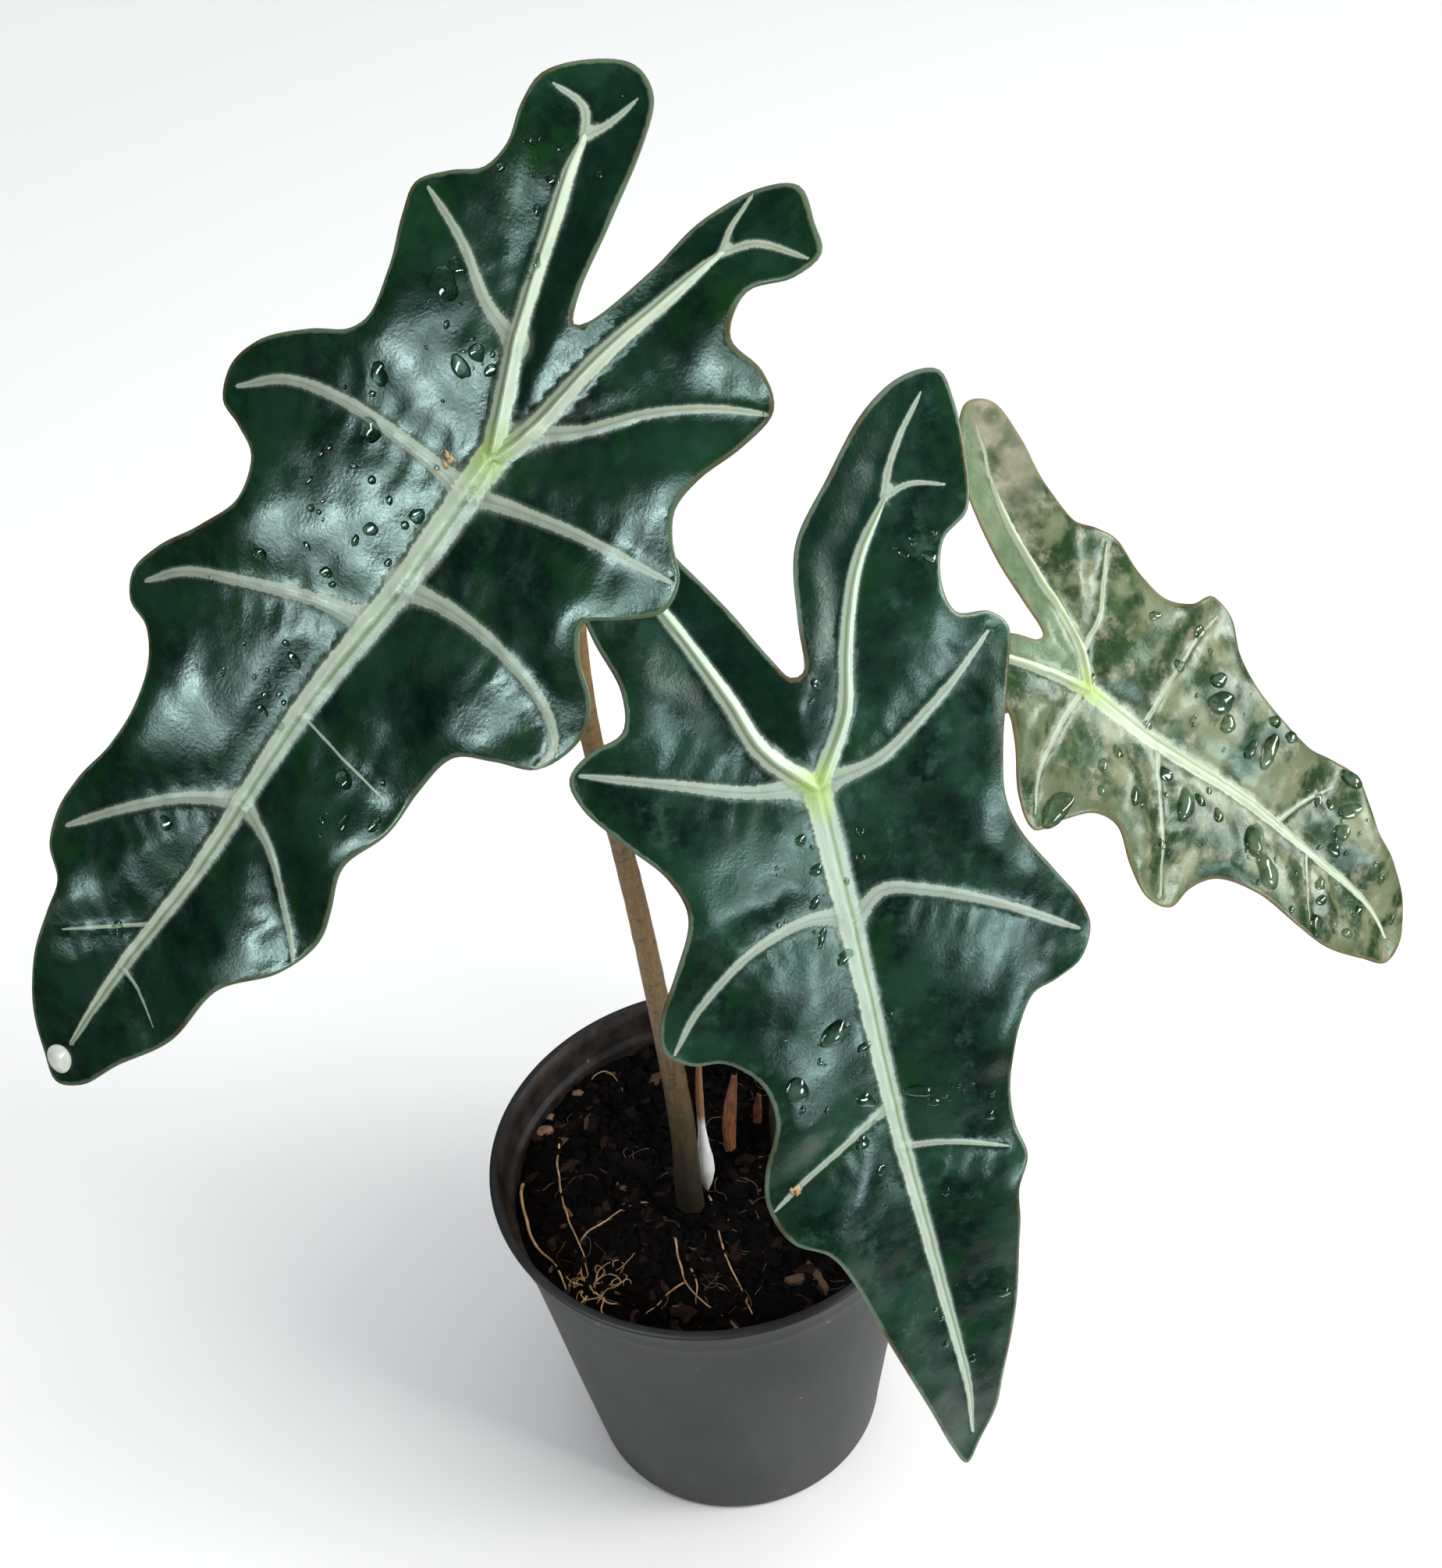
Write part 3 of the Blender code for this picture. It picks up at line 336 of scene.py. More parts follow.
def leaf_material(name, dark, light, fresh, vein, rough, margin_colour, inner, grey_sheen,
                  olive=(0.15, 0.21, 0.08), spread=(0.38, 0.66, 0.45, 0.0)):
    """Spread is where the cloudy tone starts and ends, how mottled it is, and how much painted shade darkens
    the heart.
    """
    g = Graph(name)
    cloud_low, cloud_high, mottling, heart_shade = spread
    where = g.vector(g.value("leaf_x"), g.value("leaf_y"))
    rib_s, rib_run = g.value("rib_s"), g.value("rib_run")
    rib_d, vein_d, vein_run = g.value("rib_d"), g.value("vein_d"), g.value("vein_run")
    near = g.value("vein_gap")
    margin = g.value("margin")
    under = g.value("under")
    junction = g.value("junction")

    cloud = g.noise(where, 0.055, 4.0, 0.6)
    mottle = g.noise(where, 0.35, 5.0, 0.65)
    base = g.mix(g.step(cloud, cloud_low, cloud_high), dark, light)
    base = g.layer(base, light, g.step(mottle, 0.42, 0.75), mottling)
    # painted shade darkens the heart near the junction, and painted sheen lightens the upper lobes
    if heart_shade:
        heart_shade_mask = g.times(g.step(junction, 48.0, 20.0), g.step(g.noise(where, 0.045, 3.0, 0.5), 0.38, 0.55))
        base = g.layer(base, shade(dark, 1.6), heart_shade_mask, heart_shade)
        crown_sheen = g.times(g.step(g.value("leaf_y"), 32.0, 50.0), g.step(cloud, 0.30, 0.50))
        base = g.layer(base, grey_sheen, crown_sheen, 0.6)
    patches = g.times(g.step(g.noise(where, 0.09, 3.0, 0.55), 0.5, 0.66), g.step(near, 16.0, 1.0))
    base = g.layer(base, fresh, patches, 0.75)
    base = g.layer(base, fresh, g.step(margin, 7.0, 0.5), 0.35)
    # a grey-green bloom: partly the blade's own cloudy tone, partly painted sheen haze
    sheen_bloom = g.times(g.step(g.noise(where, 0.13, 5.0, 0.7), 0.52, 0.72), 0.55)
    base = g.mix(sheen_bloom, base, grey_sheen)
    inner_tone = g.mix(g.step(mottle, 0.35, 0.7), inner, shade(inner, 1.35))
    base = g.layer(base, inner_tone, g.value("sinus"), 0.65)
    # thin cross veins run out from each side vein
    cross = g.noise(g.vector(vein_run, g.times(near, 0.18)), 0.42, 2.0, 0.5)
    fine = g.times(g.step(g.math("ABSOLUTE", g.math("SUBTRACT", cross, 0.5)), 0.022, 0.0),
                   g.times(g.step(near, 8.0, 3.0), 0.25))
    base = g.mix(fine, base, light)

    def fringe(side, run, seed, reach):
        """The side coordinate with a feathery, slightly ragged edge."""
        comb = g.noise(g.vector(run, g.times(side, 0.35), seed), 1.7, 3.0, 0.7)
        slow = g.noise(g.vector(run, side, seed + 4.0), 0.33, 2.0, 0.5)
        shift = g.plus(g.times(g.math("SUBTRACT", comb, 0.5), reach),
                       g.times(g.math("SUBTRACT", slow, 0.5), 0.35))
        return g.plus(side, shift)

    vein_edge = fringe(vein_d, vein_run, 1.0, 0.75)
    vein_mask = g.step(vein_edge, 1.12, 0.86)
    halo = g.times(g.step(vein_edge, 1.7, 1.0), 0.35)
    side_vein = shade(vein, 0.68)
    vein_dark = shade(vein, 0.48)
    shifted = g.plus(vein_d, g.times(g.math("SUBTRACT", mottle, 0.5), 0.3))
    centre = g.step(shifted, 0.32, 0.05)
    vein_tone = g.layer(side_vein, vein_dark, centre, 0.75)
    base = g.mix(halo, base, shade(vein, 0.4))
    base = g.mix(vein_mask, base, vein_tone)

    rib_edge = fringe(rib_d, rib_run, 9.0, 0.4)
    rib_mask = g.step(rib_edge, 1.08, 0.86)
    rib_halo = g.times(g.step(rib_edge, 1.45, 0.95), 0.5)
    drawn = g.vector(g.times(rib_run, 0.12), g.times(rib_s, 2.2), 3.0)
    streak = g.noise(drawn, 1.0, 3.0, 0.6)
    wander = g.plus(rib_s, g.times(g.math("SUBTRACT", streak, 0.5), 0.3))
    # the rib is painted lighter on its right side and darker on its left (painted light and shade); the olive
    # stripe in its groove left of centre is painted groove shade
    rib_lit_and_shaded = g.mix(g.step(wander, -0.05, 0.25), shade(vein, 0.72), shade(vein, 1.16))
    rib_lit_and_shaded = g.layer(rib_lit_and_shaded, shade(vein, 0.66), g.step(streak, 0.45, 0.7), 0.35)
    groove_shade_stripe = g.times(g.step(wander, -0.52, -0.36), g.step(wander, -0.02, -0.2))
    rib_tone = g.layer(rib_lit_and_shaded, olive, groove_shade_stripe, 0.85)
    base = g.mix(rib_halo, base, shade(vein, 0.45))
    base = g.mix(rib_mask, base, rib_tone)
    heart = g.times(g.step(junction, 10.0, 1.0), g.step(rib_edge, 1.1, 0.8))
    base = g.layer(base, (0.31, 0.43, 0.10), heart, 0.75)

    ragged = g.plus(margin, g.times(g.math("SUBTRACT", g.noise(where, 0.5, 2.0), 0.5), 0.7))
    rim = g.step(ragged, 0.95, 0.4)
    rim_tone = g.mix(g.step(g.noise(where, 0.06, 2.0), 0.5, 0.66), margin_colour, (0.10, 0.075, 0.038))
    base = g.layer(base, rim_tone, rim, 0.6)

    purple = g.mix(g.step(cloud, 0.3, 0.7), (0.085, 0.028, 0.045), (0.06, 0.055, 0.035))
    back = g.layer(purple, (0.22, 0.24, 0.12), g.step(vein_d, 1.6, 0.7), 0.8)
    back = g.mix(g.step(rib_d, 1.0, 0.6), back, (0.30, 0.34, 0.17))
    back = g.layer(back, (0.25, 0.25, 0.15), g.step(margin, 1.2, 0.3), 0.6)
    colour = g.mix(g.step(under, 0.45, 0.75), base, back)

    pale = g.math("MAXIMUM", vein_mask, rib_mask)
    wax = g.step(g.noise(where, 0.17, 5.0, 0.65), 0.34, 0.66)
    gloss = g.plus(g.times(wax, 0.13), rough)
    gloss = g.plus(gloss, g.times(pale, 0.12))
    gloss = g.plus(gloss, g.times(under, 0.22))
    grain = g.plus(g.times(g.noise(where, 1.6, 4.0, 0.65), 0.6), g.times(g.cells(where, 1.1), 0.25))
    soft = g.bump(grain, 0.35, 0.00022)
    return g.finish(Base_Color=colour, Roughness=gloss, Normal=soft, Specular_IOR_Level=0.38,
                    Specular_Tint=(0.72, 0.94, 0.88))


def stalk_material(name, low, high, dark):
    g = Graph(name)
    along, around = g.value("along"), g.value("around")
    where = g.vector(around, g.times(along, 0.13))
    tone = g.mix(g.step(along, 12.0, 125.0), low, high)
    streaks = g.noise(where, 1.5, 4.0, 0.6)
    sunny = g.times(g.step(streaks, 0.4, 0.72), g.scaled(g.step(along, 15.0, 125.0), 0.5, 0.05))
    tone = g.mix(sunny, tone, shade(high, 1.7))
    bars = g.noise(g.vector(g.times(around, 0.25), g.times(along, 0.42)), 1.6, 4.0, 0.7)
    tone = g.layer(tone, dark, g.step(bars, 0.5, 0.66), 0.5)
    specks = g.noise(g.coords, 900.0, 3.0, 0.6)
    tone = g.layer(tone, dark, g.step(specks, 0.6, 0.75), 0.4)
    bump = g.bump(g.plus(streaks, g.times(specks, 0.4)), 0.3, 0.0003)
    return g.finish(Base_Color=tone, Roughness=g.scaled(bars, 0.2, 0.38), Normal=bump)


def soil_material():
    g = Graph("damp_potting_mix")
    pick = g.value("pick")
    big = g.noise(g.coords, 90.0, 4.0, 0.6)
    fine = g.noise(g.coords, 900.0, 5.0, 0.75)
    place = g.tree.nodes.new("ShaderNodeVectorMath")
    place.operation = "DOT_PRODUCT"
    g.put(place.inputs[0], g.coords)
    place.inputs[1].default_value = (-0.72, -0.69, 0.0)
    front = g.step(g.scaled(big, 0.03, place.outputs["Value"]), 0.012, 0.055)
    tone = g.mix(g.step(big, 0.35, 0.65), (0.0010, 0.0009, 0.0009), (0.0028, 0.0021, 0.0018))
    tone = g.layer(tone, (0.0050, 0.0029, 0.0023), front, 0.8)
    tone = g.layer(tone, (0.0100, 0.0065, 0.0046), g.step(fine, 0.52, 0.72), 0.6)
    bits = g.times(g.step(pick, 0.78, 0.97), g.scaled(front, 0.75, 0.25))
    tone = g.mix(bits, tone, (0.040, 0.020, 0.014))
    grit = g.times(g.step(pick, 0.965, 0.985), g.scaled(front, 0.6, 0.4))
    tone = g.mix(grit, tone, (0.17, 0.105, 0.065))
    bump = g.bump(g.plus(fine, g.noise(g.coords, 2600.0, 3.0, 0.7)), 0.8, 0.0006)
    return g.finish(Base_Color=tone, Roughness=g.scaled(fine, 0.35, 0.6), Normal=bump,
                    Specular_IOR_Level=0.1)


def root_material(name, pale, deep):
    g = Graph(name)
    blotch = g.noise(g.coords, 260.0, 4.0, 0.65)
    fine = g.noise(g.coords, 1700.0, 4.0, 0.7)
    tone = g.mix(g.step(blotch, 0.36, 0.66), pale, deep)
    tone = g.layer(tone, shade(deep, 0.35), g.step(fine, 0.55, 0.75), 0.6)
    return g.finish(Base_Color=tone, Roughness=g.scaled(blotch, 0.3, 0.5), Normal=g.bump(fine, 0.5, 0.0003))


def pot_material():
    g = Graph("nursery_plastic")
    height = g.tree.nodes.new("ShaderNodeSeparateXYZ")
    g.put(height.inputs[0], g.coords)
    z = height.outputs["Z"]
    cloud = g.noise(g.coords, 22.0, 4.0, 0.6)
    flow = g.noise(g.coords, 60.0, 4.0, 0.65, stretch=(1.0, 1.0, 0.22))
    dust = g.noise(g.coords, 700.0, 5.0, 0.75)
    tone = g.mix(g.step(cloud, 0.3, 0.7), (0.016, 0.018, 0.019), (0.029, 0.032, 0.0335))
    tone = g.layer(tone, (0.070, 0.073, 0.073), g.step(flow, 0.45, 0.72), 0.35)
    tone = g.layer(tone, (0.13, 0.122, 0.112), g.step(dust, 0.58, 0.78), 0.30)
    low = g.times(g.step(z, 0.022, 0.0), g.step(flow, 0.35, 0.7))
    tone = g.layer(tone, (0.075, 0.068, 0.056), low, 0.35)
    high = g.times(g.step(z, 0.090, 0.106), g.step(g.noise(g.coords, 45.0, 3.0, 0.6), 0.3, 0.7))
    tone = g.layer(tone, (0.020, 0.021, 0.022), high, 0.6)
    inner = g.value("inner")
    grime = g.times(inner, g.step(g.noise(g.coords, 130.0, 4.0, 0.7), 0.40, 0.62))
    # the inner wall is painted darker: painted shade inside the pot
    tone = g.mix(inner, tone, (0.010, 0.010, 0.011))
    tone = g.layer(tone, (0.045, 0.030, 0.020), grime, 0.8)
    scuff = g.cells(g.coords, 120.0)
    nick = g.times(g.step(scuff, 0.10, 0.04), g.step(cloud, 0.50, 0.62))
    tone = g.layer(tone, (0.34, 0.29, 0.25), nick, 0.6)
    grain = g.plus(g.noise(g.coords, 1500.0, 4.0, 0.6), g.times(flow, 0.8))
    return g.finish(Base_Color=tone, Roughness=g.scaled(flow, 0.24, 0.40),
                    Normal=g.bump(grain, 0.25, 0.00025), Specular_IOR_Level=0.3)


def sheath_material(name, pale, deep, edge, upper=None):
    g = Graph(name)
    along, around = g.value("along"), g.value("around")
    grain = g.noise(g.vector(g.times(around, 9.0), g.times(along, 0.10)), 2.0, 4.0, 0.65)
    blotch = g.noise(g.coords, 330.0, 3.0, 0.6)
    tone = g.mix(g.step(grain, 0.38, 0.64), pale, deep)
    tone = g.layer(tone, edge, g.step(blotch, 0.5, 0.7), 0.55)
    if upper:
        tone = g.mix(g.step(along, upper[0], upper[1]), tone, upper[2])
    return g.finish(Base_Color=tone, Roughness=g.scaled(grain, 0.2, 0.55),
                    Normal=g.bump(grain, 0.5, 0.0004))


def milky_material():
    g = Graph("milky_drop")
    haze = g.noise(g.coords, 420.0, 3.0, 0.5)
    tone = g.mix(g.step(haze, 0.3, 0.7), (0.50, 0.54, 0.47), (0.66, 0.68, 0.62))
    return g.finish(Base_Color=tone, Roughness=0.16, IOR=1.36, Subsurface_Weight=0.3, Subsurface_Scale=0.002)


def water_material():
    g = Graph("water")
    # the grey-green tint darkens the beads: painted shade for the light that real drops lose
    return g.finish(Base_Color=(0.42, 0.55, 0.45), Roughness=0.03, IOR=1.40, Transmission_Weight=1.0,
                    Specular_IOR_Level=1.0, Coat_Weight=0.6, Coat_IOR=1.5, Coat_Roughness=0.03)


# ------------------------------------------------------------------ geometry helpers

def smooth_run(points, step, closed=False):
    """A centripetal Catmull-Rom line through the points, sampled about every step."""
    pts = [Vector(p) for p in points]
    n = len(pts)
    if closed:
        pts = [pts[-1]] + pts + [pts[0], pts[1]]
    else:
        pts = [pts[0] * 2 - pts[1]] + pts + [pts[-1] * 2 - pts[-2]]
        n -= 1
    out = []
    for i in range(n):
        p0, p1, p2, p3 = pts[i:i + 4]
        t1 = math.sqrt((p1 - p0).length)
        t2 = t1 + math.sqrt((p2 - p1).length)
        t3 = t2 + math.sqrt((p3 - p2).length)
        count = max(1, round((p2 - p1).length / step))
        for j in range(count):
            t = t1 + (t2 - t1) * j / count
            a1 = p0 * ((t1 - t) / t1) + p1 * (t / t1)
            a2 = p1 * ((t2 - t) / (t2 - t1)) + p2 * ((t - t1) / (t2 - t1))
            a3 = p2 * ((t3 - t) / (t3 - t2)) + p3 * ((t - t2) / (t3 - t2))
            b1 = a1 * ((t2 - t) / t2) + a2 * (t / t2)
            b2 = a2 * ((t3 - t) / (t3 - t1)) + a3 * ((t - t1) / (t3 - t1))
            out.append(b1 * ((t2 - t) / (t2 - t1)) + b2 * ((t - t1) / (t2 - t1)))
    if not closed:
        out.append(pts[-2])
    return out


def add_object(name, data):
    obj = bpy.data.objects.new(name, data)
    bpy.context.scene.collection.objects.link(obj)
    return obj


def unit_ball(level):
    """Points and faces of a ball of radius 1."""
    ball = bmesh.new()
    bmesh.ops.create_icosphere(ball, subdivisions=level, radius=1.0)
    points = np.array([v.co for v in ball.verts])
    faces = [tuple(v.index for v in f.verts) for f in ball.faces]
    ball.free()
    return points, faces


def polar(r, angle):
    return r * math.cos(angle), r * math.sin(angle)


def make_piece(name, verts, faces, mat, nodes=(), attributes=None, smooth=True):
    """A mesh object that rides on the plant, with per-point values for its shader."""
    mesh = bpy.data.meshes.new(name)
    mesh.from_pydata([tuple(v) for v in verts], [], [tuple(f) for f in faces])
    for key, values in (attributes or {}).items():
        layer = mesh.attributes.new(key, "FLOAT", "POINT")
        layer.data.foreach_set("value", np.asarray(values, np.float32))
    if smooth:
        mesh.polygons.foreach_set("use_smooth", [True] * len(mesh.polygons))
    mesh.materials.append(mat)
    mesh.update()
    obj = add_object(name, mesh)
    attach(obj, "root")
    if nodes:
        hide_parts(*nodes)
    return obj


def line_fields(points, line):
    """Distance to a line, which side of it (+ is right of its direction), and length along it."""
    a, b = line[:-1], line[1:]
    step = b - a
    length = np.linalg.norm(step, axis=1)
    start = np.concatenate(([0.0], np.cumsum(length)[:-1]))
    rel = points[:, None, :] - a[None]
    t = np.clip((rel * step[None]).sum(2) / (length ** 2)[None], 0, 1)
    off = rel - t[..., None] * step[None]
    dist = np.hypot(off[..., 0], off[..., 1])
    best = dist.argmin(1)
    rows = np.arange(len(points))
    cross = step[best, 0] * rel[rows, best, 1] - step[best, 1] * rel[rows, best, 0]
    side = np.where(cross > 0, -1.0, 1.0)
    return dist[rows, best], side, start[best] + t[rows, best] * length[best], float(length.sum())


def inside(points, loop):
    """Which points lie inside the closed loop."""
    x, y = points[:, 0][:, None], points[:, 1][:, None]
    x0, y0 = loop[:, 0][None], loop[:, 1][None]
    x1, y1 = np.roll(loop[:, 0], -1)[None], np.roll(loop[:, 1], -1)[None]
    crossing = ((y0 > y) != (y1 > y)) & (x < (x1 - x0) * (y - y0) / np.where(y1 == y0, 1e-9, y1 - y0) + x0)
    return crossing.sum(1) % 2 == 1


def thin_out(groups, gaps):
    """Keep points in order of importance, none nearer to a kept one than its group's gap."""
    kept, table = [], {}
    for group, gap in zip(groups, gaps):
        for x, y in group:
            i, j = math.floor(x), math.floor(y)
            close = (q for u in (i - 1, i, i + 1) for v in (j - 1, j, j + 1) for q in table.get((u, v), ()))
            if not any((q[0] - x) ** 2 + (q[1] - y) ** 2 < gap * gap for q in close):
                kept.append((float(x), float(y)))
                table.setdefault((i, j), []).append(kept[-1])
    return kept


# ------------------------------------------------------------------ leaves

def leaf_frame(leaf):
    heading, dip, turn = (math.radians(leaf[k]) for k in ("heading", "dip", "turn"))
    down = Vector((math.sin(heading) * math.cos(dip), -math.cos(heading) * math.cos(dip), -math.sin(dip)))
    level = (Vector((0, 0, 1)) - down * down.z).normalized()
    normal = level * math.cos(turn) - level.cross(down) * math.sin(turn)
    up = -down
    return Vector(leaf["junction"]), up.cross(normal), up, normal


def broad_height(points, leaf):
    """The blade's broad shape, the same as the solid model's."""
    total = np.zeros(len(points))
    for key in ("midrib", "left_rib", "right_rib"):
        d, _side, _run, _length = line_fields(points, np.array(leaf[key], float))
        total += np.maximum(d, 0.05) ** -6
    d = total ** (-1 / 6)
    y = points[:, 1]
    height = FOLD * (np.hypot(d, FOLD_SOFTNESS) - FOLD_SOFTNESS) - DROOP * d * d
    height -= ARCH * np.minimum(y, 0) ** 2 + RECURVE * np.maximum(y, 0) ** 2
    for row in leaf["margin"]:
        for (cx, cy), sign in ((row[-1], 1), (row[len(row) // 2 - 1], -1)):
            reach = ((points[:, 0] - cx) ** 2 + (y - cy) ** 2) / (2 * WAVE_REACH * WAVE_REACH)
            height += sign * WAVE * np.exp(-reach)
    return height


def leaf_lines(leaf):
    ribs = []
    for key, (w0, w1) in zip(("midrib", "left_rib", "right_rib"), leaf["rib_widths"]):
        ribs.append((np.array(smooth_run(leaf[key], 1.1)), w0, w1))
    veins = [(np.array(smooth_run(line, 1.0)), w0, w1) for line, w0, w1 in leaf["veins"]]
    return ribs, veins


def nearest_line(points, lines, flare):
    """For every point: side coordinate (1 at the line's edge), run, and the gap beyond the edge."""
    best = np.full(len(points), 1e9)
    side = np.zeros(len(points))
    run = np.zeros(len(points))
    gap = np.full(len(points), 1e9)
    for i, (line, w0, w1) in enumerate(lines):
        d, sign, along, length = line_fields(points, line)
        t = along / length
        width = (w0 + (w1 - w0) * t) * (1 - 0.5 * np.clip(t * 6 - 5, 0, 1) ** 2)
        if w0 > 1.05:
            width = width + flare * w0 * np.exp(-along / 2.8)
        s = d / width
        closer = s < best
        best = np.where(closer, s, best)
        side = np.where(closer, s * sign, side)
        run = np.where(closer, along + 90.0 * i, run)
        gap = np.minimum(gap, np.maximum(d - width, 0))
    return side, run, gap


def relief_noise(points, scale, seed):
    return np.array([noise.noise(Vector((x / scale, y / scale, seed))) for x, y in points])


def leaf_surface(points, shape):
    """Heights of the upper and lower faces, and the values the shader reads."""
    leaf, ribs, veins, loop, seed, pucker = shape
    rib_s, rib_run, rib_gap = nearest_line(points, ribs, 0.0)
    vein_s, vein_run, vein_gap = nearest_line(points, veins, 1.1)
    closed = np.concatenate((loop, loop[:1]))
    margin, _side, edge_run, _length = line_fields(points, closed)
    gap = np.minimum(rib_gap, vein_gap)
    top = broad_height(points, leaf)
    calm = 1 - np.exp(-margin / 2.0)
    quilt = 1 - np.exp(-(gap / 6.0) ** 2)
    top += pucker * calm * (1.0 * quilt + 0.8 * quilt * relief_noise(points, 13.0, seed)
                            + 0.26 * relief_noise(points, 6.0, seed + 5)
                            + 0.08 * relief_noise(points, 2.8, seed + 9))
    shift = 2.5 * relief_noise(points, 9.0, seed + 2)
    pleat, weight = np.zeros(len(points)), np.full(len(points), 1e-9)
    for line, _w0, _w1 in veins:
        d, _sign, along, _length = line_fields(points, line)
        share = (d + 1.0) ** -5
        pleat += share * np.sin(along * 2 * math.pi / 5.2 + shift)
        weight += share
    top += pucker * calm * 0.11 * pleat / weight * np.exp(-((vein_gap - 4.0) / 4.0) ** 2)
    crest = np.clip(1 - (np.abs(rib_s) / 0.85) ** 2, 0, 1) ** 1.2
    _d, of_left, _r, _l = line_fields(points, np.array(leaf["left_rib"], float))
    _d, of_right, _r, _l = line_fields(points, np.array(leaf["right_rib"], float))
    sinus = ((of_left > 0) & (of_right < 0) & (points[:, 1] > 3)).astype(float)
    rib_size = np.interp(np.abs(points[:, 1]), (0, 150), (1.0, 0.5))
    top += rib_size * (1.05 * crest - 0.45 * np.exp(-((rib_s + 0.28) / 0.16) ** 2))
    top += 0.36 * np.clip(1 - vein_s ** 2, 0, 1) ** 1.5 - 0.13 * np.exp(-(vein_s / 0.22) ** 2)
    top += 0.16 * np.exp(-((margin - 0.3) / 0.5) ** 2)
    crimp = np.sin(edge_run / 3.1 + 2 * relief_noise(points, 12.0, seed + 3))
    top += 0.30 * calm * crimp * np.exp(-margin / 5.0)
    under = top - BLADE
    under -= rib_size * 2.1 * np.exp(-(rib_s / 0.62) ** 2) * (1 - np.exp(-margin / 1.5))
    under -= 0.95 * np.exp(-(vein_s / 0.75) ** 2) * (1 - np.exp(-margin / 1.5))
    values = {"rib_s": rib_s, "rib_d": np.abs(rib_s), "rib_run": rib_run, "vein_d": np.abs(vein_s),
              "vein_run": vein_run, "vein_gap": gap, "margin": margin, "sinus": sinus,
              "leaf_x": points[:, 0] + 200 * seed, "leaf_y": points[:, 1],
              "junction": np.hypot(points[:, 0], points[:, 1])}
    return top, under, values


def build_leaf(name, leaf, mat, seed, pucker):
    ribs, veins = leaf_lines(leaf)
    flat = [p for row in leaf["margin"] for p in row]
    loop = np.array(smooth_run(flat, 1.4, closed=True))
    ahead = np.roll(loop, -1, 0) - np.roll(loop, 1, 0)
    ahead /= np.linalg.norm(ahead, axis=1)[:, None]
    inward = np.stack((ahead[:, 1], -ahead[:, 0]), 1)
    ring = np.concatenate((loop + inward * 0.55, loop + inward * 1.15))
    centre_lines = np.concatenate([line for line, _a, _b in ribs + veins])
    flanks = []
    for line, w0, w1 in ribs + veins:
        along = np.linspace(0, 1, len(line))[:, None]
        width = w0 + (w1 - w0) * along
        way = np.gradient(line, axis=0)
        way /= np.linalg.norm(way, axis=1)[:, None]
        left = np.stack((-way[:, 1], way[:, 0]), 1)
        for share in (0.28, 0.6, 1.0):
            flanks += [line + left * width * share, line - left * width * share]
    flanks = np.concatenate(flanks)
    low, high = loop.min(0), loop.max(0)
    pitch = 1.45
    rows = np.arange(low[1], high[1], pitch * 0.866)
    mesh_points = np.array([(x + (pitch / 2 if i % 2 else 0), y) for i, y in enumerate(rows)
                            for x in np.arange(low[0], high[0], pitch)])
    closed = np.concatenate((loop, loop[:1]))
    groups = []
    for group, edge in ((ring, 0.35), (centre_lines, 0.6), (flanks, 0.6), (mesh_points, 0.9)):
        group = group[inside(group, loop)]
        groups.append(group[line_fields(group, closed)[0] > edge])
    points = thin_out([loop] + groups, [0.0, 0.4, 0.35, 0.38, 0.75])
    n = len(loop)
    result = geometry.delaunay_2d_cdt([Vector(p) for p in points], [], [list(range(n))], 1, 1e-5)
    flat_points = np.array([tuple(v) for v in result[0]])
    tris = [tuple(f) for f in result[2]]
    edge_count = {}
    for f in tris:
        for a, b in zip(f, f[1:] + f[:1]):
            edge_count[(a, b)] = edge_count.get((a, b), 0) + 1
    border = [(a, b) for (a, b) in edge_count if (b, a) not in edge_count]
    shape = (leaf, ribs, veins, loop, seed, pucker)
    top, under, values = leaf_surface(flat_points, shape)
    origin, right, up, normal = (np.array(v) for v in leaf_frame(leaf))
    place = origin + flat_points[:, :1] * right + flat_points[:, 1:] * up
    upper = (place + top[:, None] * normal) * MM
    lower = (place + under[:, None] * normal) * MM
    count = len(flat_points)
    # a rounded rim: one extra loop just outside the blade's edge, halfway down
    rim_index, rim_points, outward = {}, [], {}
    for a, b in border:
        way = flat_points[b] - flat_points[a]
        out = np.array((way[1], -way[0])) / max(np.linalg.norm(way), 1e-9)
        for k in (a, b):
            outward[k] = outward.get(k, 0) + out
    for k, out in outward.items():
        out = out / max(np.linalg.norm(out), 1e-9)
        spot = place[k] + (right * out[0] + up * out[1]) * 0.16 + normal * (top[k] - BLADE * 0.5)
        rim_index[k] = 2 * count + len(rim_points)
        rim_points.append(spot * MM)
    faces = list(tris) + [tuple(count + i for i in reversed(f)) for f in tris]
    for a, b in border:
        faces.append((b, a, rim_index[a], rim_index[b]))
        faces.append((rim_index[b], rim_index[a], count + a, count + b))
    order = list(rim_index)
    attributes = {k: np.concatenate((v, v, v[order])) for k, v in values.items()}
    attributes["under"] = np.concatenate((np.zeros(count), np.ones(count), np.full(len(order), 0.45)))
    verts = np.concatenate((upper, lower, np.array(rim_points)))
    make_piece(name + "_blade", verts, faces, mat, [name], attributes)
    return shape


def on_blade(flat, heights, leaf):
    """Places in millimetres of points given along the blade and above it."""
    origin, right, up, normal = (np.array(v) for v in leaf_frame(leaf))
    return origin + flat[:, :1] * right + flat[:, 1:] * up + heights[:, None] * normal


def blade_point(x, y, shape):
    """Place and outward direction on the upper face at a leaf position."""
    e = 0.4
    pts = np.array([(x, y), (x + e, y), (x, y + e)])
    spots = on_blade(pts, leaf_surface(pts, shape)[0], shape[0])
    out = np.cross(spots[1] - spots[0], spots[2] - spots[0])
    return spots[0], out / np.linalg.norm(out)


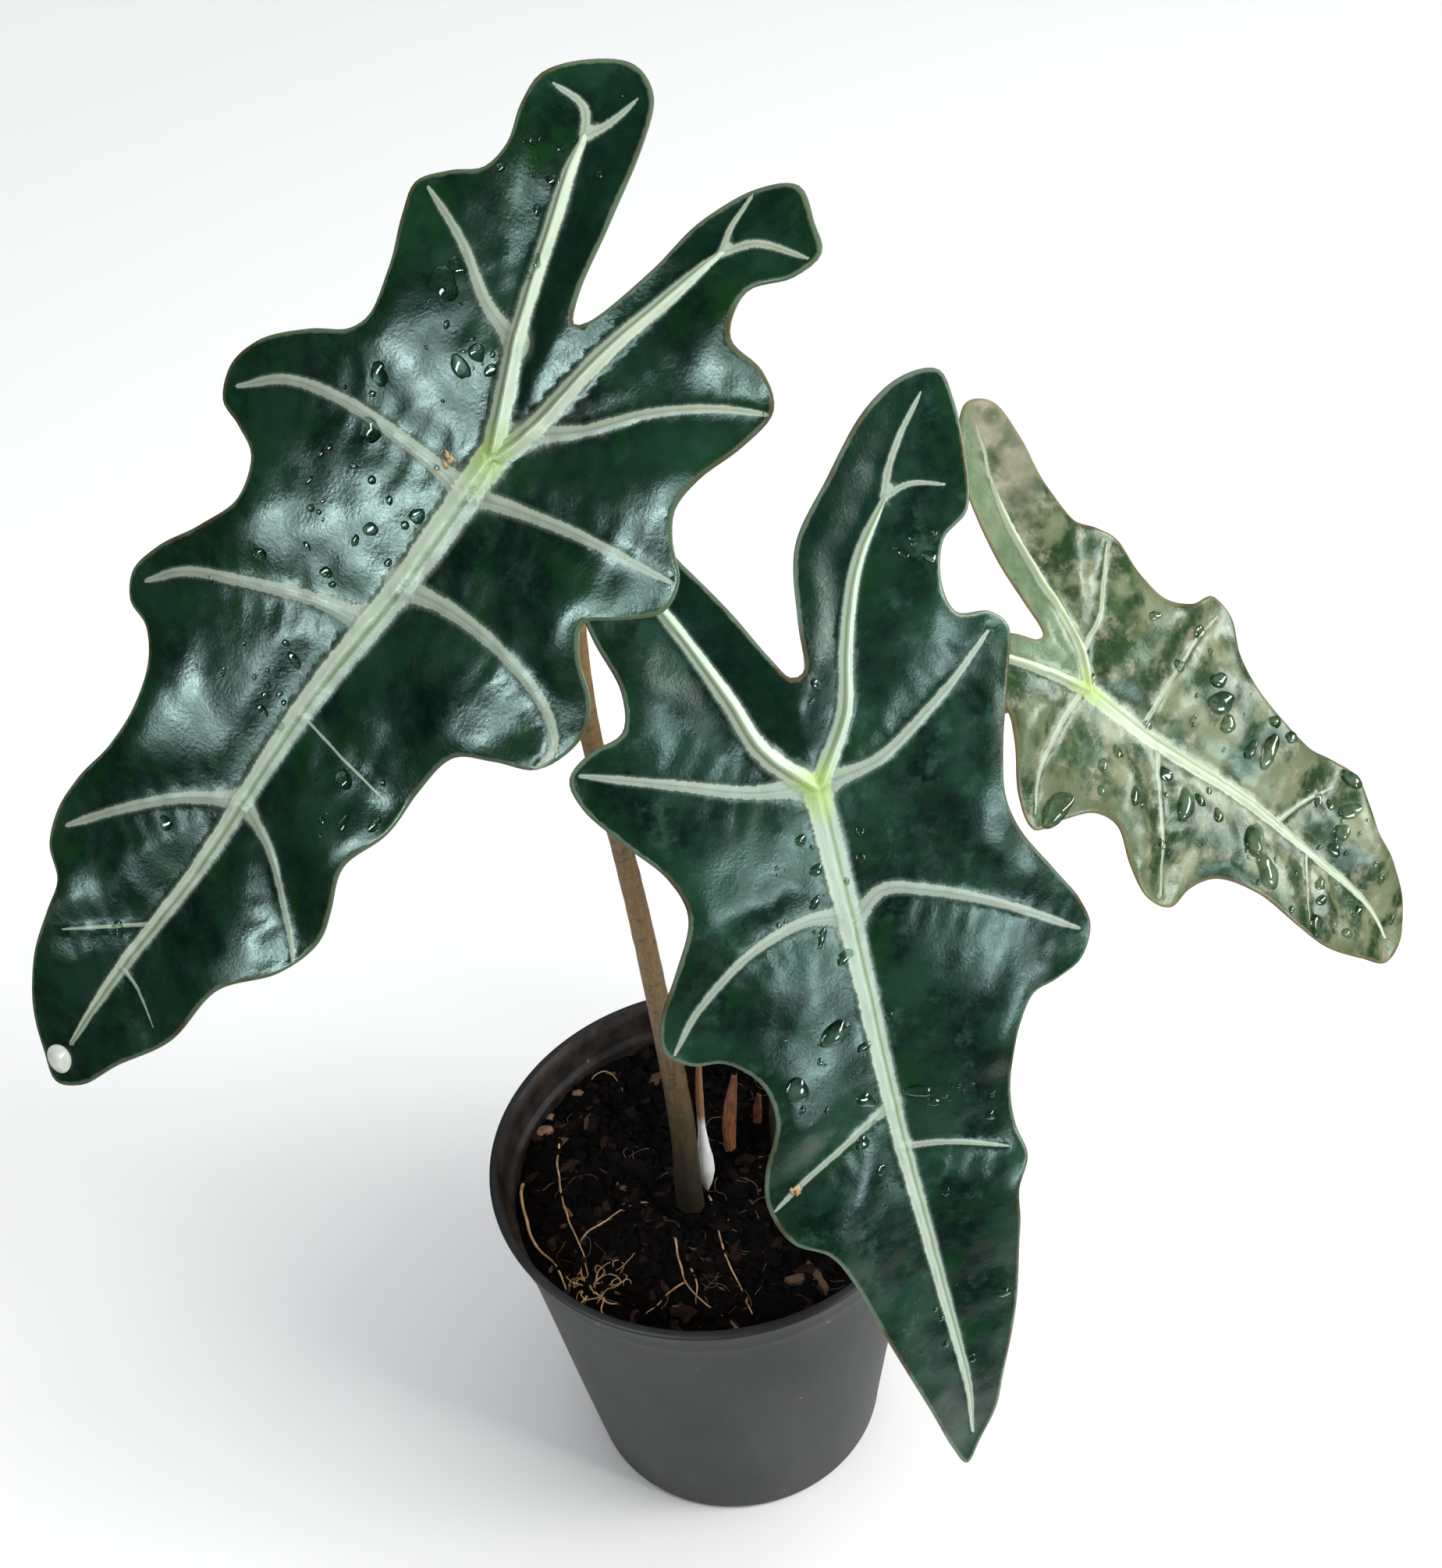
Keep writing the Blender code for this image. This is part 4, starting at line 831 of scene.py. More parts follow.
def build_drops(name, shape, drops, spray, mat, uneven=1.0):
    """Beads of water lying on the blade."""
    leaf, ribs, veins, loop, seed, _pucker = shape
    rng = np.random.default_rng(seed * 17 + 3)
    closed = np.concatenate((loop, loop[:1]))
    spots = [(x, y, r, 0.36 + 0.16 * rng.random()) for x, y, r in drops]
    for cx, cy, spread, count in spray:
        for _ in range(count):
            x, y = cx + rng.normal(0, spread * 0.6), cy + rng.normal(0, spread * 0.6)
            spots.append((x, y, 0.28 + 0.65 * rng.random() ** 1.8, 0.5))
    kept = []
    for k, (x, y, r, tall) in enumerate(spots):
        p = np.array([(x, y)])
        if not inside(p, loop)[0] or line_fields(p, closed)[0][0] < min(r, 1.4):
            continue
        on_rib = abs(nearest_line(p, ribs, 0.0)[0][0]) < 1.3 or abs(nearest_line(p, veins, 0.0)[0][0]) < 1.3
        if k >= len(drops) and on_rib:
            continue
        if any(math.hypot(x - q[0], y - q[1]) < (r + q[2]) * 0.9 for q in kept):
            continue
        kept.append((x, y, r, tall))
    balls = [unit_ball(2), unit_ball(4)]
    flat, lifts, faces, total = [], [], [], 0
    for i, (x, y, r, tall) in enumerate(kept):
        unit, tris = balls[r > 0.95]
        angle = np.arctan2(unit[:, 1], unit[:, 0])
        ragged = uneven * min(1.0, r / 1.6)
        lobes = 1 + ragged * (0.10 * np.sin(2 * angle + i) + 0.07 * np.sin(3 * angle + 2.3 * i)
                              + 0.03 * np.sin(5 * angle + i))
        turn, stretch = 6.28 * rng.random(), 1.0 + 0.5 * uneven * rng.random()
        u, v = unit[:, 0] * r * lobes * stretch, unit[:, 1] * r * lobes / math.sqrt(stretch)
        flat.append(np.stack((x + u * math.cos(turn) - v * math.sin(turn),
                              y + u * math.sin(turn) + v * math.cos(turn)), 1))
        swell = 1 + 0.12 * uneven * np.sin(unit[:, 0] * 2.2 + 3 * i) * np.cos(unit[:, 1] * 1.8 + i)
        lifts.append(np.where(unit[:, 2] > 0, unit[:, 2] * r * tall * swell, unit[:, 2] * 0.12))
        faces += [tuple(total + k for k in f) for f in tris]
        total += len(unit)
    flat, lifts = np.concatenate(flat), np.concatenate(lifts)
    verts = on_blade(flat, leaf_surface(flat, shape)[0] + lifts, leaf)
    make_piece(name, verts * MM, faces, mat)


def build_speck(name, shape, at, mat):
    """A few crumbs of dry litter lying on the blade."""
    rng = np.random.default_rng(shape[4] + 40)
    unit, tris = unit_ball(2)
    verts, faces = [], []
    for i in range(5):
        spot, out = blade_point(at[0] + rng.normal(0, 0.7), at[1] + rng.normal(0, 0.7), shape)
        side = np.cross(out, (math.cos(2.0 * i), math.sin(2.0 * i), 0.4))
        side /= np.linalg.norm(side)
        third = np.cross(out, side)
        rough = 1 + 0.3 * rng.standard_normal((len(unit), 1)).clip(-1.2, 1.2)
        size = 0.35 + 0.5 * rng.random()
        lump = unit * rough * size
        faces += [tuple(i * len(unit) + k for k in f) for f in tris]
        verts.append((spot + lump[:, :1] * side * 1.7 + lump[:, 1:2] * third * 0.7
                      + (lump[:, 2:] * 0.5 + size * 0.3) * out) * MM)
    make_piece(name, np.concatenate(verts), faces, mat)


# ------------------------------------------------------------------ stalks, roots, sheaths

def tube_mesh(points, radii, sides, wobble, seed):
    """A closed tube along the points; returns points, faces, length along and place round it."""
    pts = [Vector(p) for p in points]
    ahead = [(pts[min(i + 1, len(pts) - 1)] - pts[max(i - 1, 0)]).normalized() for i in range(len(pts))]
    side = ahead[0].orthogonal().normalized()
    verts, faces, along, around = [], [], [], []
    total = 0.0
    for i, (p, way) in enumerate(zip(pts, ahead)):
        side = (side - way * side.dot(way)).normalized()
        other = way.cross(side)
        if i:
            total += (p - pts[i - 1]).length
        for k in range(sides):
            angle = 2 * math.pi * k / sides
            here = Vector((*polar(2, angle), total * 0.25 + seed))
            r = radii[i] * (1 + wobble * noise.noise(here))
            verts.append(p + side * r * math.cos(angle) + other * r * math.sin(angle))
            along.append(total)
            around.append(abs(k / sides - 0.5) * 12)
    for i in range(len(pts) - 1):
        for k in range(sides):
            a, b = i * sides + k, i * sides + (k + 1) % sides
            faces.append((a, b, b + sides, a + sides))
    for end, ring, way, r in ((0, 0, -1, radii[0]), (1, len(pts) - 1, 1, radii[-1])):
        tip = pts[ring] + ahead[ring] * way * r * 0.45
        verts.append(tip)
        along.append(along[ring * sides])
        around.append(3.0)
        for k in range(sides):
            a, b = ring * sides + k, ring * sides + (k + 1) % sides
            faces.append((len(verts) - 1, b, a) if end == 0 else (len(verts) - 1, a, b))
    return verts, faces, along, around


def spaced(points, radii, step):
    """Points and radii along a smooth line, evenly spread."""
    run = smooth_run(points, step)
    marks = [Vector(p) for p in points]
    out = []
    for p in run:
        k = min(range(len(marks)), key=lambda j: (marks[j] - p).length)
        lo, hi = max(k - 1, 0), min(k + 1, len(marks) - 1)
        other = lo if (marks[lo] - p).length < (marks[hi] - p).length and lo != k or hi == k else hi
        d0, d1 = (marks[k] - p).length, (marks[other] - p).length
        share = d0 / max(d0 + d1, 1e-9)
        out.append(radii[k] * (1 - share) + radii[other] * share)
    for _ in range(3):
        middle = [(out[i - 1] + 2 * out[i] + out[i + 1]) / 4 for i in range(1, len(out) - 1)]
        out = [out[0]] + middle + [out[-1]]
    return run, out


def add_stalk(name, table, leaf, mat, seed):
    origin, _right, _up, normal = leaf_frame(leaf)
    top = origin - normal * 2.0
    points = [p for p, _r in table] + [tuple(origin - normal * (PETIOLE_KNEE + 3.5)), tuple(top)]
    radii = [r for _p, r in table]
    radii += [radii[-1] * 0.97, radii[-1] * 1.02]
    run, thick = spaced(points, radii, 1.6)
    verts, faces, along, around = tube_mesh(run, thick, 28, wobble=0.05, seed=seed)
    verts = [Vector(v) * MM for v in verts]
    make_piece(name + "_skin", verts, faces, mat, [name], {"along": along, "around": around})


def soil_top(x, y):
    """Height of the soil's surface in millimetres at a place in millimetres."""
    r = math.hypot(x, y) / POT_RIM
    lumps = noise.noise(Vector((x / 13, y / 13, 3.1)))
    crumbs = noise.noise(Vector((x / 6, y / 6, 7.7)))
    return SOIL_LEVEL + 2.2 * (0.9 * lumps + 0.45 * crumbs + 0.5 - 1.1 * r * r)


def soil_skin(x, y):
    small = noise.noise(Vector((x / 2.6, y / 2.6, 1.3)))
    tiny = noise.noise(Vector((x / 1.2, y / 1.2, 5.3)))
    return soil_top(x, y) + 0.95 * small + 0.6 * tiny


def pot_radius(z):
    """The outer wall's radius below the band."""
    return POT_BASE + (POT_RIM - LIP - BAND - POT_BASE) * z / POT_HEIGHT


def build_soil(mat):
    rng = np.random.default_rng(11)
    rings, spokes = 74, 220
    verts = [(0, 0, soil_skin(0, 0))]
    for i in range(1, rings + 1):
        for k in range(spokes):
            angle = 2 * math.pi * (k + 0.5 * (i % 2)) / spokes
            x, y = polar((pot_radius(SOIL_LEVEL) - WALL - SOIL_GAP) * i / rings, angle)
            z = soil_skin(x, y)
            if i == rings:
                x, y = polar(pot_radius(z) - WALL - SOIL_GAP, angle)
            verts.append((x, y, z))
    faces = [(0, 1 + k, 1 + (k + 1) % spokes) for k in range(spokes)]
    for i in range(1, rings):
        for k in range(spokes):
            a, b = 1 + (i - 1) * spokes + k, 1 + (i - 1) * spokes + (k + 1) % spokes
            faces.append((a, a + spokes, b + spokes, b))
    edge = 1 + (rings - 1) * spokes
    for radius, z in ((pot_radius(5) - 1.9, 5.0), (38.2, SOIL_FOOT)):
        start = len(verts)
        for k in range(spokes):
            angle = 2 * math.pi * (k + 0.5 * (rings % 2)) / spokes
            verts.append((*polar(radius, angle), z))
        for k in range(spokes):
            faces.append((edge + k, start + k, start + (k + 1) % spokes, edge + (k + 1) % spokes))
        edge = start
    verts.append((0, 0, SOIL_FOOT))
    faces += [(len(verts) - 1, edge + (k + 1) % spokes, edge + k) for k in range(spokes)]
    pick = rng.random(len(verts)) * 0.78
    make_piece("potting_mix", np.array(verts) * MM, faces, mat, ["soil", "corm"],
               {"pick": pick})

    # loose crumbs, bark bits and grit lying on top
    unit, tris = unit_ball(1)
    verts, faces, picks = [], [], []
    for i in range(CRUMBS):
        r = 52.6 * math.sqrt(rng.random())
        x, y = polar(r, 2 * math.pi * rng.random())
        size = 0.3 + 1.5 * rng.random() ** 3.0 if i >= LARGE_CRUMBS else 1.1 + 1.1 * rng.random()
        pick = rng.random()
        long = 1 + (1.8 * rng.random() if pick > 0.8 else 0.6 * rng.random())
        scale = np.array((size * long, size, size * (0.5 + 0.4 * rng.random())))
        turn = np.array(Matrix.Rotation(rng.random() * 6.28, 3, "Z")
                        @ Matrix.Rotation((rng.random() - 0.5) * 1.1, 3, "X"))
        lump = unit * (1 + 0.28 * rng.standard_normal((len(unit), 1)).clip(-1.4, 1.4)) * scale
        faces += [tuple(len(verts) * len(unit) + k for k in f) for f in tris]
        verts.append(lump @ turn.T + (x, y, soil_skin(x, y) + scale[2] * 0.35))
        picks += [pick] * len(unit)
    make_piece("soil_crumbs", np.concatenate(verts) * MM, faces, mat, (), {"pick": picks},
               smooth=False)


def build_roots(mat, fibre_mat, bark_mat):
    rng = np.random.default_rng(5)
    verts, faces = [], []

    def lay(line, radius, sides, wander, thin):
        run = smooth_run(line, 0.9)
        points, radii = [], []
        for i, p in enumerate(run):
            t = i / (len(run) - 1)
            sway = wander * noise.noise(Vector((p.x / 6, p.y / 6, radius * 9)))
            x, y = p.x + sway, p.y - sway * 0.6
            r = radius * (1 - thin * t) * (1 + 0.18 * noise.noise(Vector((i * 0.35, radius * 31, 0))))
            lift = 0.25 + 0.5 * (0.5 + noise.noise(Vector((p.x / 7, p.y / 7, 9.0))))
            points.append(Vector((x, y, max(soil_skin(x, y), soil_top(x, y)) + r * 0.6 + lift)))
            radii.append(r)
        for _ in range(4):
            zs = [p.z for p in points]
            for i in range(1, len(points) - 1):
                points[i].z = (zs[i - 1] + 2 * zs[i] + zs[i + 1]) / 4
        points[0].z -= 0.7
        points[-1].z -= 0.7
        v, f, _a, _r = tube_mesh(points, radii, sides, wobble=0.15, seed=radius * 7)
        base = len(verts)
        verts.extend(v)
        faces.extend(tuple(base + k for k in face) for face in f)

    for line, radius in ROOTS:
        lay(line, radius * 0.68, 10, 0.7, 0.5)
    # the matted knot by the front left wall
    for _ in range(TANGLE):
        x, y = -34.5 + 3.4 * rng.standard_normal(), -33.5 + 3.4 * rng.standard_normal()
        heading = 6.283 * rng.random()
        turn = 0.9 * rng.standard_normal()
        line = [(x, y)]
        for _ in range(5):
            heading += turn + 0.5 * rng.standard_normal()
            x, y = x + 1.6 * math.cos(heading), y + 1.6 * math.sin(heading)
            line.append((x, y))
        if max(math.hypot(*p) for p in line) < 53.5:
            lay(line, 0.10 + 0.15 * rng.random(), 6, 0.4, 0.4)
    roots = ["root_left_rim", "root_left", "root_fork", "root_middle", "root_middle_twig",
             "root_middle_fork", "root_right", "root_back", "root_clump"]
    make_piece("surface_roots", [Vector(v) * MM for v in verts], faces, mat, roots)

    verts.clear()
    faces.clear()
    for _ in range(FIBRES):
        r = 50 * math.sqrt(rng.random())
        x, y = polar(r, 6.283 * rng.random())
        heading = 6.283 * rng.random()
        line = [(x, y)]
        for _ in range(4):
            heading += 0.7 * rng.standard_normal()
            x += 2.6 * math.cos(heading)
            y += 2.6 * math.sin(heading)
            line.append((x, y))
        if max(math.hypot(*p) for p in line) < 52:
            lay(line, 0.09 + 0.13 * rng.random(), 5, 0.4, 0.3)
    make_piece("soil_fibres", [Vector(v) * MM for v in verts], faces, fibre_mat)

    unit, tris = unit_ball(4)
    verts, faces = [], []
    for i, ((x, y), half) in enumerate(CHIPS):
        base = len(verts)
        z = max(soil_skin(x, y), soil_top(x, y)) + half[2] * 0.7
        for u in map(Vector, unit):
            push = 1 + 0.22 * noise.noise(u * 1.7 + Vector((5.0 * i, 0, 0))) + 0.08 * noise.noise(u * 6)
            verts.append(Vector((x + u.x * half[0] * push, y + u.y * half[1] * push,
                                 z + u.z * half[2] * push)) * MM)
        faces += [tuple(base + k for k in f) for f in tris]
    make_piece("bark_chips", verts, faces, bark_mat, ["chip_left", "chip_middle", "chip_back"])


def strap(name, line, widths, curl, thick, facing, mat, nodes):
    """A thin curled sheath with a frayed top, closed all round."""
    pts = smooth_run(line, 0.8)
    across = 15
    count = len(pts)
    front, back, along, around = [], [], [], []
    for i, p in enumerate(pts):
        t = i / (count - 1)
        k = t * (len(widths) - 1)
        lo = min(int(k), len(widths) - 2)
        width = widths[lo] + (widths[lo + 1] - widths[lo]) * (k - lo)
        ahead = (pts[min(i + 1, count - 1)] - pts[max(i - 1, 0)]).normalized()
        side = ahead.cross(Vector(facing)).normalized()
        out = side.cross(ahead)
        for j in range(across):
            s = j / (across - 1) - 0.5
            angle = s * curl
            ridge = 0.10 * math.sin(j * 2.1 + 0.6 * math.sin(i * 0.3))
            fray = 0.9 * noise.noise(Vector((j * 0.8, 2.2, len(widths)))) * (t > 0.98)
            fray += 0.25 * noise.noise(Vector((j * 0.3, i * 0.15, 4.4)))
            q = (p + side * width * math.sin(angle) / curl
                 + out * (width * (math.cos(angle) - 1) / curl + ridge))
            q = q + ahead * fray * t + out * 0.3 * noise.noise(Vector((i * 0.2, j * 0.3, 8.8)))
            front.append(q + out * thick / 2)
            back.append(q - out * thick / 2)
            along.append(i * 0.8)
            around.append(s)
    n = len(front)
    faces = []
    for i in range(count - 1):
        for j in range(across - 1):
            a = i * across + j
            quad = (a, a + 1, a + across + 1, a + across)
            faces.append(quad)
            faces.append(tuple(n + k for k in reversed(quad)))
    border = list(range(across)) + [i * across + across - 1 for i in range(1, count)]
    border += [(count - 1) * across + j for j in range(across - 2, -1, -1)]
    border += [i * across for i in range(count - 2, 0, -1)]
    for a, b in zip(border, border[1:] + border[:1]):
        faces.append((b, a, n + a, n + b))
    verts = [v * MM for v in front + back]
    obj = make_piece(name, verts, faces, mat, nodes, {"along": along * 2, "around": around * 2})
    bm = bmesh.new()
    bm.from_mesh(obj.data)
    bmesh.ops.recalc_face_normals(bm, faces=bm.faces)
    bm.to_mesh(obj.data)
    bm.free()


# ------------------------------------------------------------------ pot

def build_pot(mat):
    band_top = pot_radius(POT_HEIGHT) + BAND
    outer = [(band_top - WALL + 0.15, 109.85), (band_top - 0.9, 110.0), (band_top - 0.1, 110.0),
             (band_top + 0.55, 109.8), (band_top + 0.92, 109.35), (band_top + LIP, 108.8),
             (band_top + 0.9, 108.3), (band_top + 0.5, 107.9), (band_top + 0.12, 107.6), (band_top, 107.1)]
    outer += [(pot_radius(z) + BAND, z) for z in (105, 103, 101, 100.2)]
    outer += [(pot_radius(99.7) + 1.05, 99.7), (pot_radius(99.3) + 0.6, 99.3),
              (pot_radius(98.9) + 0.12, 98.9), (pot_radius(98.4), 98.4)]
    outer += [(pot_radius(z), z) for z in (94, 84, 70, 56, 42, 28, 14, 6, 3)]
    outer += [(pot_radius(2) - 0.05, 1.9), (41.9, 1.1), (41.4, 0.5), (40.8, 0.15), (40.0, 0.0), (36, 0.0),
              (26, 0.0), (12, 0.0)]
    inner = [(12, 2.0), (26, 2.0), (36, 2.0), (38.6, 2.1), (40.4, 2.9), (pot_radius(4.5) - WALL, 4.5)]
    inner += [(pot_radius(z) - WALL, z) for z in (14, 28, 42, 56, 70, 84, 94, 98.4)]
    inner += [(pot_radius(98.9) - WALL + 0.12, 98.9), (pot_radius(99.7) - WALL + 1.05, 99.7),
              (pot_radius(100.2) - WALL + BAND, 100.2), (pot_radius(105) - WALL + BAND, 105)]
    spokes = 160
    rows = outer + inner
    verts, inside_shade = [], []
    for i, (r, z) in enumerate(rows):
        for k in range(spokes):
            angle = 2 * math.pi * k / spokes
            dent = 0.22 * noise.noise(Vector((*polar(1.3, angle), z / 45))) if z > 4 else 0
            verts.append((*polar(r + dent, angle), z))
            # rows inside the pot, which the shader paints darker as painted shade
            inside_shade.append(1.0 if i >= len(outer) or i == 0 else 0.0)
    faces = []
    n = len(rows)
    for i in range(n):
        if i == len(outer) - 1:
            continue
        a0, b0 = i * spokes, ((i + 1) % n) * spokes
        for k in range(spokes):
            m = (k + 1) % spokes
            faces.append((a0 + k, b0 + k, b0 + m, a0 + m))
    for ring, z, flip in ((len(outer) - 1, 0.0, False), (len(outer), POT_FLOOR, True)):
        verts.append((0, 0, z))
        inside_shade.append(1.0 if flip else 0.0)
        for k in range(spokes):
            a, b = ring * spokes + k, ring * spokes + (k + 1) % spokes
            faces.append((len(verts) - 1, b, a) if not flip else (len(verts) - 1, a, b))
    pot = make_piece("nursery_pot", np.array(verts) * MM, faces, mat, ["pot"],
                     {"inner": inside_shade})
    # the drainage holes are cut through the floor
    cutters = bmesh.new()
    for i in range(DRAINS):
        place = Matrix.Translation((*polar(DRAIN_CIRCLE * MM, 2 * math.pi * (i + 0.5) / DRAINS), 0))
        bmesh.ops.create_cone(cutters, cap_ends=True, segments=28, radius1=DRAIN_RADIUS * MM,
                              radius2=DRAIN_RADIUS * MM, depth=6 * MM, matrix=place)
    mesh = bpy.data.meshes.new("drains")
    cutters.to_mesh(mesh)
    cutters.free()
    drains = add_object("drains", mesh)
    mod = pot.modifiers.new("Drain", "BOOLEAN")
    mod.solver = "EXACT"
    mod.object = drains
    deps = bpy.context.evaluated_depsgraph_get()
    cut = bpy.data.meshes.new_from_object(pot.evaluated_get(deps))
    pot.modifiers.clear()
    old = pot.data
    pot.data = cut
    bpy.data.meshes.remove(old)
    cut.name = "nursery_pot"
    bpy.data.objects.remove(drains, do_unlink=True)


# ------------------------------------------------------------------ assembly

green = leaf_material("alocasia_blade", dark=(0.0022, 0.0098, 0.0058), light=(0.0078, 0.032, 0.0175),
                      fresh=(0.0060, 0.036, 0.0058), vein=(0.42, 0.50, 0.38), rough=0.17,
                      margin_colour=(0.13, 0.18, 0.11), inner=(0.0020, 0.0105, 0.0066),
                      grey_sheen=(0.016, 0.050, 0.033))
# its lighter grey bloom is painted sheen haze
facing = leaf_material("alocasia_front_blade", dark=(0.0018, 0.0082, 0.0055), light=(0.0100, 0.036, 0.022),
                       fresh=(0.0060, 0.034, 0.008), vein=(0.38, 0.46, 0.37), rough=0.19,
                       margin_colour=(0.14, 0.19, 0.13), inner=(0.0022, 0.0115, 0.0075),
                       grey_sheen=(0.034, 0.084, 0.062))
# the young blade's pale grey-olive tones are partly its own paler colour and partly painted sheen
young_with_sheen = leaf_material("alocasia_young_blade_painted_sheen", dark=(0.012, 0.033, 0.010), light=(0.150, 0.175, 0.098),
                      fresh=(0.013, 0.045, 0.010), vein=(0.42, 0.49, 0.36), rough=0.20,
                      margin_colour=(0.21, 0.165, 0.085), inner=(0.110, 0.170, 0.092),
                      grey_sheen=(0.36, 0.325, 0.245), olive=(0.24, 0.33, 0.15), spread=(0.44, 0.57, 0.22, 0.4))
water = water_material()

# node, table, material, slot, seed, how quilted, drops, spray, where a scrap of litter lies
leaves = (("leaf_left", LEFT_LEAF, green, "leaf_blade", 1, 0.78, LEFT_DROPS, LEFT_SPRAY, (-6.7, -5.0)),
          ("leaf_front", FRONT_LEAF, facing, "leaf_blade", 2, 0.82, FRONT_DROPS, FRONT_SPRAY, (-24.6, -89.5)),
          ("leaf_right", RIGHT_LEAF, young_with_sheen, "young_leaf_blade", 3, 1.5, RIGHT_DROPS, RIGHT_SPRAY, None))
litter = root_material("leaf_litter", (0.50, 0.37, 0.17), (0.30, 0.18, 0.07))
for leaf_name, table, mat, slot, seed, pucker, drops, spray, speck in leaves:
    shape = build_leaf(leaf_name, table, mat, seed, pucker)
    build_drops(leaf_name + "_drops", shape, drops, spray, water)
    if leaf_name == "leaf_left":
        build_drops("leaf_left_tip_drop", shape, ((-10.7, -172.6, 3.3),), (), milky_material(), 0.1)
    if speck:
        build_speck(leaf_name + "_speck", shape, speck, litter)

brown_stalk = stalk_material("petiole_skin", (0.030, 0.026, 0.013), (0.235, 0.142, 0.048),
                             (0.034, 0.020, 0.010))
stalks = (("petiole_left", PETIOLE_LEFT, LEFT_LEAF, 1.0), ("petiole_front", PETIOLE_FRONT, FRONT_LEAF, 2.0),
          ("petiole_right", PETIOLE_RIGHT, RIGHT_LEAF, 3.0))
for stalk_name, table, leaf, seed in stalks:
    add_stalk(stalk_name, table, leaf, brown_stalk, seed)

build_soil(soil_material())
build_roots(root_material("dry_root", (0.56, 0.35, 0.17), (0.25, 0.125, 0.055)),
            root_material("soil_fibre", (0.10, 0.062, 0.04), (0.035, 0.022, 0.016)),
            root_material("bark_chip", (0.30, 0.18, 0.105), (0.16, 0.080, 0.045)))

bleached = sheath_material("bleached_stalk", (0.97, 0.97, 0.96), (0.93, 0.92, 0.89), (0.86, 0.82, 0.76),
                           (26.0, 31.0, (0.30, 0.145, 0.060)))
red_brown = sheath_material("red_sheath", (0.36, 0.125, 0.045), (0.13, 0.045, 0.022), (0.05, 0.020, 0.012))
DRY_STALK = (((-2.0, -4.4, 98.5), 0.3), ((-1.9, -4.3, 102), 1.6), ((-1.8, -4.2, 107), 2.6),
             ((-1.7, -4.1, 112), 2.2), ((-1.6, -4.0, 118), 1.45), ((-1.5, -3.8, 124), 0.95),
             ((-1.2, -3.2, 134), 1.05), ((-0.4, -2.2, 146), 0.8), ((1.2, -0.6, 157), 0.35))
run, thick = spaced([p for p, _r in DRY_STALK], [r for _p, r in DRY_STALK], 0.8)
verts, faces, along, around = tube_mesh(run, thick, 18, wobble=0.08, seed=4.0)
make_piece("dry_stalk_skin", [Vector(v) * MM for v in verts], faces, bleached, ["dry_stalk"],
           {"along": along, "around": around})
strap("red_sheath_skin", ((5.3, 7.6, 98.6), (5.6, 8.0, 107), (6.6, 8.8, 116), (8.4, 10.2, 127)),
      (3.4, 4.6, 4.0, 1.6), 1.8, 0.45, (0.2, -1, 0.2), red_brown, ["red_sheath"])
strap("back_sheath_skin", ((13.2, 17.0, 98.6), (13.6, 17.2, 104), (14.4, 17.6, 110)), (2.4, 2.6, 1.0), 1.2,
      0.45, (-0.3, -1, 0), red_brown, ["back_sheath"])

build_pot(pot_material())

# ------------------------------------------------------------------ floor, light, camera

paper = Graph("pale_floor")
paper = paper.finish(Base_Color=(0.74, 0.74, 0.735), Roughness=0.9, Specular_IOR_Level=0.1)


def add_floor(name, verts, faces, mirrored):
    """A flat piece of floor; only the piece close to the pot is seen in reflections."""
    mesh = bpy.data.meshes.new(name)
    mesh.from_pydata(verts, [], faces)
    mesh.materials.append(paper)
    obj = add_object(name, mesh)
    obj.visible_glossy = mirrored


CORNERS = ((-1, -1), (1, -1), (1, 1), (-1, 1))
near_square = [(x * 0.2, y * 0.2, 0) for x, y in CORNERS]
far_square = [(x * 20, y * 20, 0) for x, y in CORNERS]
add_floor("floor_near", near_square, [(0, 1, 2, 3)], True)
add_floor("floor", near_square + far_square, [(k, 4 + k, 4 + (k + 1) % 4, (k + 1) % 4) for k in range(4)],
          False)

world = bpy.data.worlds.new("studio")
world.use_nodes = True
world.node_tree.nodes["Background"].inputs["Color"].default_value = (0.93, 0.96, 1.0, 1.0)
world.node_tree.nodes["Background"].inputs["Strength"].default_value = 0.6
world.cycles_visibility.glossy = False
bpy.context.scene.world = world
bpy.context.scene.view_settings.view_transform = "Standard"


